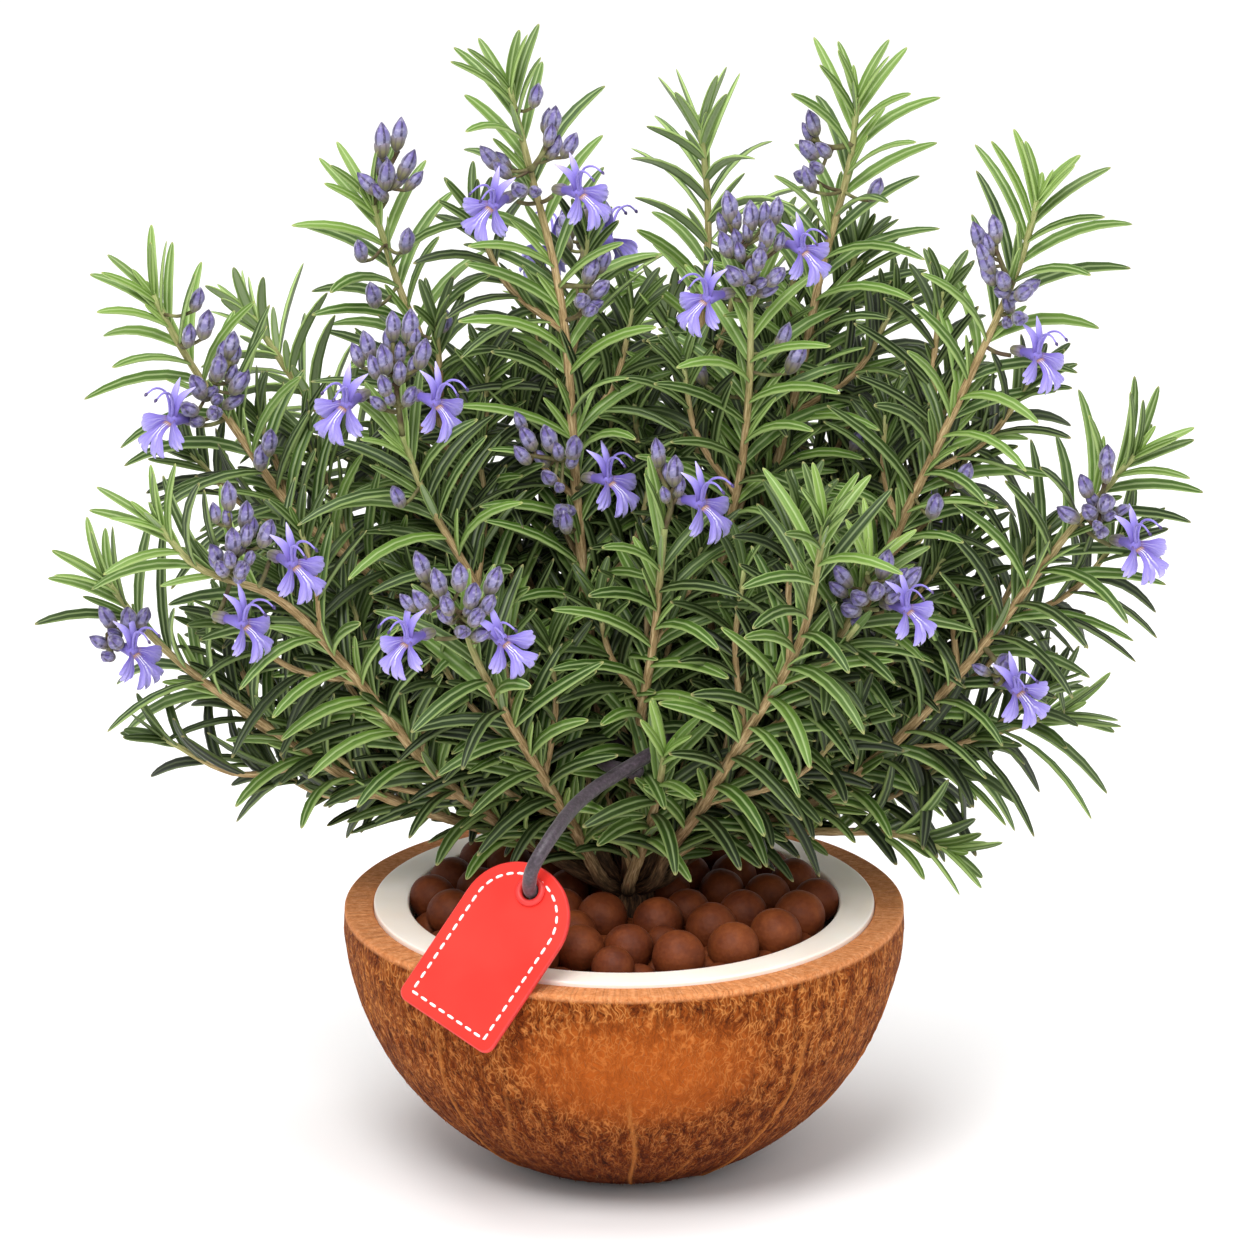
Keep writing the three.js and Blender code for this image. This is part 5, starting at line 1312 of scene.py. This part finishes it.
rim_share, throat_share, streak_fade = (
    add_node(tree, "ShaderNodeMapRange", {
        "From Min": first, "From Max": last, "To Max": most}, {"Value": petal_along})
    for first, last, most in ((0.84, 1.0, 0.5), (0.14, 0.03, 0.8), (0.66, 0.3, 0.8)))
# The lip's white streaks fan out from its yellow-brown throat, with dark dots of
# 0.7 mm between.
streak_lines = add_node(tree, "ShaderNodeMath", {"operation": "MULTIPLY", 1: 15.0},
                        {0: vein_place})
streak_wave = add_node(tree, "ShaderNodeMath", {"operation": "COSINE"}, {0: streak_lines})
streak_bands = add_node(tree, "ShaderNodeMapRange", {"From Min": -0.2, "From Max": 0.6},
                        {"Value": streak_wave})
petal_side = add_node(tree, "ShaderNodeMath", {"operation": "ABSOLUTE"}, {0: petal_across})
streak_middle = add_node(tree, "ShaderNodeMapRange", {"From Min": 0.62, "From Max": 0.34},
                         {"Value": petal_side})
streak_field = add_node(tree, "ShaderNodeMath", {"operation": "MULTIPLY"}, {
    0: streak_middle, 1: streak_fade})
streak_share = add_node(tree, "ShaderNodeMath", {"operation": "MULTIPLY"}, {
    0: streak_bands, 1: streak_field})
pale_lip = add_node(tree, "ShaderNodeMath", {"operation": "MULTIPLY"}, {
    0: streak_share, 1: petal_lip})
dots = add_node(tree, "ShaderNodeTexVoronoi", {"Scale": 1500.0}, {"Vector": object_place})
dot_share = add_node(tree, "ShaderNodeMapRange", {"From Min": 0.32, "From Max": 0.24},
                     {"Value": dots})
dot_lip = add_node(tree, "ShaderNodeMath", {"operation": "MULTIPLY"}, {
    0: dot_share, 1: pale_lip})
throat_lip = add_node(tree, "ShaderNodeMath", {"operation": "MULTIPLY"}, {
    0: throat_share, 1: petal_lip})
petal_layers = [
    (vein_share, "#5f4fb8"), (rim_share, "#cfc8f7"), (pale_lip, "#f4f1fd"),
    (dot_lip, "#4a3aa6"), (throat_lip, "#b98a4a"),
]
petal_colour = petal_tint
for share, colour in petal_layers:
    petal_colour = add_node(tree, "ShaderNodeMix", {"data_type": "RGBA", 7: linear(colour)}, {
        0: share, 6: petal_colour})
colour_skin(shader, petal_colour)

# A closed bud is matt and dark grey-violet, with darker folds between its petals
# and a frost of down in clouds of 1.1 mm.
bud_skin, tree, shader = new_material("closed_bud_skin", {"Roughness": 0.5, "Sheen Weight": 0.25})
bud_along, bud_round = (
    add_node(tree, "ShaderNodeAttribute", {"attribute_name": mark}).outputs["Fac"]
    for mark in ("along", "across"))
bud_tint = add_node(tree, "ShaderNodeValToRGB", {"stops": [
    (0.0, "#77766a"), (0.35, "#7f7ba4"), (0.74, "#5f5194"), (1.0, "#281a44")]},
    {"Fac": bud_along})
bud_lines = add_node(tree, "ShaderNodeMath", {"operation": "MULTIPLY", 1: 15.0},
                     {0: bud_round})
bud_wave = add_node(tree, "ShaderNodeMath", {"operation": "COSINE"}, {0: bud_lines})
bud_fold = add_node(tree, "ShaderNodeMapRange", {
    "From Min": 0.25, "From Max": 0.8, "To Max": 0.9}, {"Value": bud_wave})
object_place = add_node(tree, "ShaderNodeTexCoord", {}).outputs["Object"]
bud_down = add_node(tree, "ShaderNodeTexNoise", {"Scale": 900.0, "Detail": 3.0},
                    {"Vector": object_place})
bud_frost = add_node(tree, "ShaderNodeMapRange", {
    "From Min": 0.46, "From Max": 0.72, "To Max": 0.55}, {"Value": bud_down})
bud_colour = bud_tint
for share, colour in ((bud_fold, "#2b2044"), (bud_frost, "#b9b4d2")):
    bud_colour = add_node(tree, "ShaderNodeMix", {"data_type": "RGBA", 7: linear(colour)}, {
        0: share, 6: bud_colour})
colour_skin(shader, bud_colour)

# The cup round a bud is downy and matt, olive below and grey-violet at its teeth,
# with dark lines between its ribs.
cup_skin, tree, shader = new_material("downy_ribbed_cup", {"Roughness": 0.7, "Sheen Weight": 0.3})
cup_along, cup_round = (
    add_node(tree, "ShaderNodeAttribute", {"attribute_name": mark}).outputs["Fac"]
    for mark in ("along", "across"))
cup_tint = add_node(tree, "ShaderNodeValToRGB", {"stops": [
    (0.0, "#4d4526"), (0.5, "#74714c"), (1.0, "#786c86")]}, {"Fac": cup_along})
cup_lines = add_node(tree, "ShaderNodeMath", {"operation": "MULTIPLY", 1: 22.0},
                     {0: cup_round})
cup_wave = add_node(tree, "ShaderNodeMath", {"operation": "SINE"}, {0: cup_lines})
cup_ribs = add_node(tree, "ShaderNodeMapRange", {
    "From Min": 0.2, "From Max": 1.0, "To Max": 0.6}, {"Value": cup_wave})
cup_colour = add_node(tree, "ShaderNodeMix", {"data_type": "RGBA", 7: linear("#4a3f4a")}, {
    0: cup_ribs, 6: cup_tint})
colour_skin(shader, cup_colour)

# Flower stalks are dull olive with brown and pale green clouds of 3.3 mm.
stalk_skin = mottled_skin("olive_flower_stalk", {"Roughness": 0.7}, 300.0, 3.0, [
    (0.35, "#4d3a26"), (0.55, "#66643a"), (0.75, "#8a8c58")])
# Anthers are dark violet and dusted with pale pollen.
anther_skin = mottled_skin("dark_anther", {"Roughness": 0.6}, 2400.0, 2.0, [
    (0.4, "#33275a"), (0.55, "#463670"), (0.7, "#7d6f8c")])

PETAL_COLUMNS, PETAL_ROWS, PETAL_STEPS = 33, 14, 60
PETAL_THICKNESS = 0.16
NOTCH_SHARE = 0.13
FLOWER_SIDES, STAMEN_SIDES = 12, 6
UPPER_LOBE = [(0.4, 0.5, 0.9), (0.7, 1.0, 3.8), (1.3, 0.2, 7.0), (2.7, -2.4, 9.4)]
SIDE_LOBE = [(0.9, 0.9, -0.1), (2.6, 2.3, -1.0), (4.7, 3.0, -2.8), (6.7, 2.6, -4.9)]
HANGING_LIP = [(0, 1.0, -0.6), (0, 3.1, -1.6), (0, 5.1, -3.6), (0, 6.0, -6.4), (0, 5.4, -9.2)]
STAMEN = [(0.3, 0.8, 0.8), (0.6, 1.9, 4.4), (1.0, 4.0, 7.6), (1.4, 7.2, 8.6), (1.7, 9.4, 7.2)]


def petal(line, half_widths, cup, lean=0.0, notch=0.0, scallop=0.0, rounding=0.16, lip=0.0):
    """A petal as a thin curved blade, its end rounded, notched or scalloped."""
    xs = np.linspace(-1, 1, PETAL_COLUMNS)
    ts = np.linspace(0, 1, PETAL_ROWS)
    path = smooth_path(line, PETAL_STEPS)
    reach = 1 - rounding * xs**2 - notch * np.exp(-((xs / NOTCH_SHARE) ** 2))
    reach = reach - scallop * (1 - np.abs(np.sin(2 * math.pi * xs)))
    reach = reach / reach.max()
    share = ts[:, None] * reach
    steps = np.linspace(0, 1, PETAL_STEPS)
    centre = points_at(share, steps, path)
    tangents = points_at(share, steps, unit(np.gradient(path, axis=0)))
    across = unit(np.array([math.cos(lean), 0, math.sin(lean)]))
    side = unit(across - (tangents @ across)[..., None] * tangents)
    out = np.cross(side, tangents)
    width = np.interp(share, np.linspace(0, 1, len(half_widths)), half_widths)
    wave = 0.6 * scallop * np.cos(4 * math.pi * xs) * share**3
    lift = (cup * xs**2 + wave) * width
    sheet = centre + side * (xs * width)[..., None] + out * lift[..., None]
    half = PETAL_THICKNESS / 2 * out
    points = np.concatenate([(sheet + half).reshape(-1, 3), (sheet - half).reshape(-1, 3)])
    index = np.arange(PETAL_ROWS * PETAL_COLUMNS).reshape(PETAL_ROWS, PETAL_COLUMNS)
    quads = np.stack([index[:-1, :-1], index[:-1, 1:], index[1:, 1:], index[1:, :-1]], -1)
    quads = quads.reshape(-1, 4)
    rim = np.concatenate([index[0, :], index[1:, -1], index[-1, -2::-1], index[-2:0:-1, 0]])
    under = index.size
    walls = np.stack([rim, np.roll(rim, -1), np.roll(rim, -1) + under, rim + under], 1)
    marks = {
        "along": np.tile(share.ravel(), 2), "across": np.tile(np.tile(xs, PETAL_ROWS), 2),
        "lip": np.full(len(points), lip)}
    return points, [quads[:, ::-1], quads + under, walls], marks, petal_skin


def round_solid(path, section, radii):
    """A swept solid whose across mark is an angle round it, for its folds or ribs."""
    points, faces, marks = sweep(path[None], (1, 0, 0), section, radii)
    angles = np.arange(FLOWER_SIDES) / FLOWER_SIDES * 2 * math.pi / 3
    marks["across"] = np.tile(angles, len(path))
    return points, faces, marks


def corolla_parts():
    """One open flower, facing +Y with its lip down, its mouth at the origin, in mm."""
    tube = smooth_path([(0, -7.5, -1.2), (0, -4, -0.6), (0, -0.2, 0), (0, 1.2, -0.1)], 12)
    tube_radii = np.array([0.8, 0.85, 0.9, 1.0, 1.1, 1.2, 1.35, 1.5, 1.65, 1.8, 1.7, 1.0])
    points, faces, marks = sweep(tube[None], (1, 0, 0), ring_section(FLOWER_SIDES), tube_radii)
    marks["along"] = marks["along"] * 0.4
    marks["across"] = marks["across"] * 0.2
    parts = [(points, faces, marks, petal_skin)]
    anther_radii = np.array([0.1, 0.4, 0.45, 0.35, 0.08])
    for hand in (-1, 1):
        upper, lobe, arch = (
            np.array(line) * (hand, 1, 1) for line in (UPPER_LOBE, SIDE_LOBE, STAMEN))
        parts.append(petal(upper, (0.9, 1.1, 1.05, 0.85, 0.5), 0.4, rounding=0.3))
        parts.append(petal(lobe, (0.8, 1.2, 2.3, 3.1, 3.1), -0.12, scallop=0.14,
                           lean=math.radians(55 * hand), rounding=0.38, lip=0.25))
        arch = smooth_path(arch, 14)
        points, faces, marks = sweep(
            arch[None], (1, 0, 0), ring_section(STAMEN_SIDES), np.linspace(0.42, 0.24, 14))
        marks["along"] = np.full(len(points), 0.45)
        marks["across"] = marks["across"] * 0.0
        parts.append((points, faces, marks, petal_skin))
        anther = arch[-1] + np.linspace(-0.6, 0.7, 5)[:, None] * np.array([0, 0.6, -0.7])
        anther = sweep(anther[None], (1, 0, 0), ring_section(STAMEN_SIDES), anther_radii)
        parts.append((*anther, anther_skin))
    parts.append(petal(HANGING_LIP, (1.1, 1.3, 1.9, 3.8, 5.7, 6.0), -0.14, notch=0.24,
                       scallop=0.2, rounding=0.28, lip=1.0))
    cup = smooth_path([(0, -9.2, -1.7), (0, -7.4, -1.2), (0, -5.0, -0.75)], 8)
    cup_radii = np.array([0.5, 1.05, 1.3, 1.4, 1.5, 1.55, 1.6, 1.45])
    cup = round_solid(cup, ring_section(FLOWER_SIDES), cup_radii)
    parts.append((*cup, cup_skin))
    return parts


def bud_parts():
    """One bud on its cup, standing up along +Z from the origin, in mm."""
    cup_radii = np.array([0.35, 0.8, 1.15, 1.4, 1.55, 1.64, 1.68, 1.66, 1.4])
    cup = np.stack([np.zeros(9), np.zeros(9), np.linspace(-1.8, 1.9, 9)], 1)
    bud_radii = np.array([1.15, 1.38, 1.52, 1.62, 1.68, 1.7, 1.66, 1.56, 1.42, 1.22, 0.98,
                          0.72, 0.44, 0.12])
    bud = np.stack([np.zeros(14), np.linspace(0, 0.5, 14) ** 2, np.linspace(0.4, 6.0, 14)], 1)
    smooth = ring_section(FLOWER_SIDES)
    angles = 3 * np.arange(FLOWER_SIDES) / FLOWER_SIDES * 2 * math.pi
    folded = smooth * (1 + 0.12 * np.cos(angles))[:, None]
    return [(*round_solid(cup, smooth, cup_radii), cup_skin),
            (*round_solid(bud, folded, bud_radii), bud_skin)]


def set_down(parts, place, forward, up, scale):
    """Copies parts to a place, their +Y turned to forward and +Z towards up."""
    forward = unit(forward)
    right = unit(np.cross(forward, up))
    top = np.cross(right, forward)
    turn = np.stack([right, forward, top], 1)
    return [(points @ turn.T * scale + place, faces, marks, material)
            for points, faces, marks, material in parts]


def stalk(start, end, radius):
    """A thin flower stalk that bows a little between two points."""
    middle = (start + end) / 2 + np.array([0, 0, -0.08]) * np.linalg.norm(end - start)
    path = smooth_path([start, middle, end], 8)
    return (*sweep(path[None], (0.1, 0.3, 1), ring_section(7), radius), stalk_skin)


def anchor(line, tip, drop=2.0):
    """The point of a line that holds a stalk: the nearest one a little below its tip."""
    return line[np.argmin(np.linalg.norm(line - tip + (0, 0, drop), axis=1))]


BUD_FOOT, BUD_LOWER_HALF = 3.6, 2.0
BUD_STALK, FLOWER_STALK = 0.45, 0.55


def held_bud(place, rise, size, line):
    """A bud that rises through a place, and its stalk from a line of points."""
    foot = place - rise * BUD_FOOT * size
    seat = place - rise * BUD_LOWER_HALF * size
    return [stalk(anchor(line, foot), foot, BUD_STALK),
            *set_down(bud, seat, np.cross(rise, (1, 0.1, 0)), rise, size)]


BUD_SPACING = 2.8
FLOWER_BACK, FLOWER_LIFT = 8.6, 1.5
SPINE_STEPS = 24
corolla = corolla_parts()
bud = bud_parts()
for number, (name, stem, ends, opened, buds) in enumerate(flower_heads):
    rng = np.random.default_rng(500 + number)
    opened = np.array(opened, float).reshape(-1, 3)
    buds = np.array(buds, float)
    middle = np.vstack([opened, buds]).mean(axis=0)
    line = stem_paths[stem]
    near = len(line) - 1 if ends else int(np.argmin(np.linalg.norm(line - middle, axis=1)))
    root = line[near]
    front = -1.0 if middle[1] < 20 else 1.0
    # The main stalk of the head rises from the stem through the buds' middle.
    crest = buds[np.argmax(buds[:, 2])]
    knuckle = root + (middle - root) * 0.5
    spine = smooth_path([root, knuckle, crest - (0, 0, 4.0)], SPINE_STEPS)
    spine_radii = np.linspace(0.85, 0.5, SPINE_STEPS)
    solids = [(*sweep(spine[None], (0.1, 0.3, 1), ring_section(8), spine_radii), stalk_skin)]
    held = np.vstack([spine, line[8:]])
    for place in opened:
        hand = -1.0 if place[0] < knuckle[0] else 1.0
        forward = unit(np.array([0.75 * hand, 0.75 * front, -0.1]) + rng.normal(0, 0.12, 3))
        base = place - forward * FLOWER_BACK - (0, 0, FLOWER_LIFT)
        solids.append(stalk(anchor(held, base), base, FLOWER_STALK))
        upright = (-0.45 * hand + rng.normal(0, 0.12), 0, 1)
        solids += set_down(
            corolla, place + (0, 0, FLOWER_LIFT), forward, upright, rng.uniform(0.92, 1.02))
    # Smaller buds stand close under and behind the ones in view.
    cluster = list(buds)
    for place in np.repeat(buds, 3, axis=0):
        inner = held[np.argmin(np.linalg.norm(held - place, axis=1))] - place
        extra = place + inner * rng.uniform(0, 0.7)
        extra = extra + rng.normal(0, 1.9, 3) * (1, 0.8, 0.9) + (0, 0, -2.0)
        if min(np.linalg.norm(extra - other) for other in [*cluster, *opened]) > BUD_SPACING:
            cluster.append(extra)
    for count, place in enumerate(cluster):
        rise = unit(unit(place - knuckle) * 0.75 + np.array([0, 0.3 * front, 0.8]))
        size = rng.uniform(1.0, 1.2) if count < len(buds) else rng.uniform(0.75, 1.0)
        solids += held_bud(place, rise, size, held)
    flowers = build_piece(f"head_{name}", solids)
    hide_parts(f"flowers_{name}")

# Single buds that stand in the axils of the upper leaves, on short stalks.
single_buds = [
    (-21, 1, 267), (-102, 5, 215), (-100, 4, 209), (-104, 5, 206), (-85, 2, 180), (-87, 3, 176),
    (-60, 12, 214), (-63, 12, 225), (-52, 14, 227), (-43, 12, 207), (-54, -18, 173), (18, 6, 197),
    (38, -2, 208), (41, -3, 203), (60, 13, 240), (44, 12, 243), (67, 20, 176), (70, 20, 172),
    (59, 24, 178), (74, -16, 170), (81, -14, 177), (56, 22, 174), (-14, -10, 164),
]
rng = np.random.default_rng(900)
all_stems = np.vstack(list(stem_paths.values()))
solids = []
for place in np.array(single_buds, float):
    holder = anchor(all_stems, place, 3.0)
    rise = unit(unit(place - holder) * 0.6 + np.array([0, -0.1, 1.0]))
    solids += held_bud(place, rise, rng.uniform(0.95, 1.2), holder[None])
build_piece("single_buds", solids)
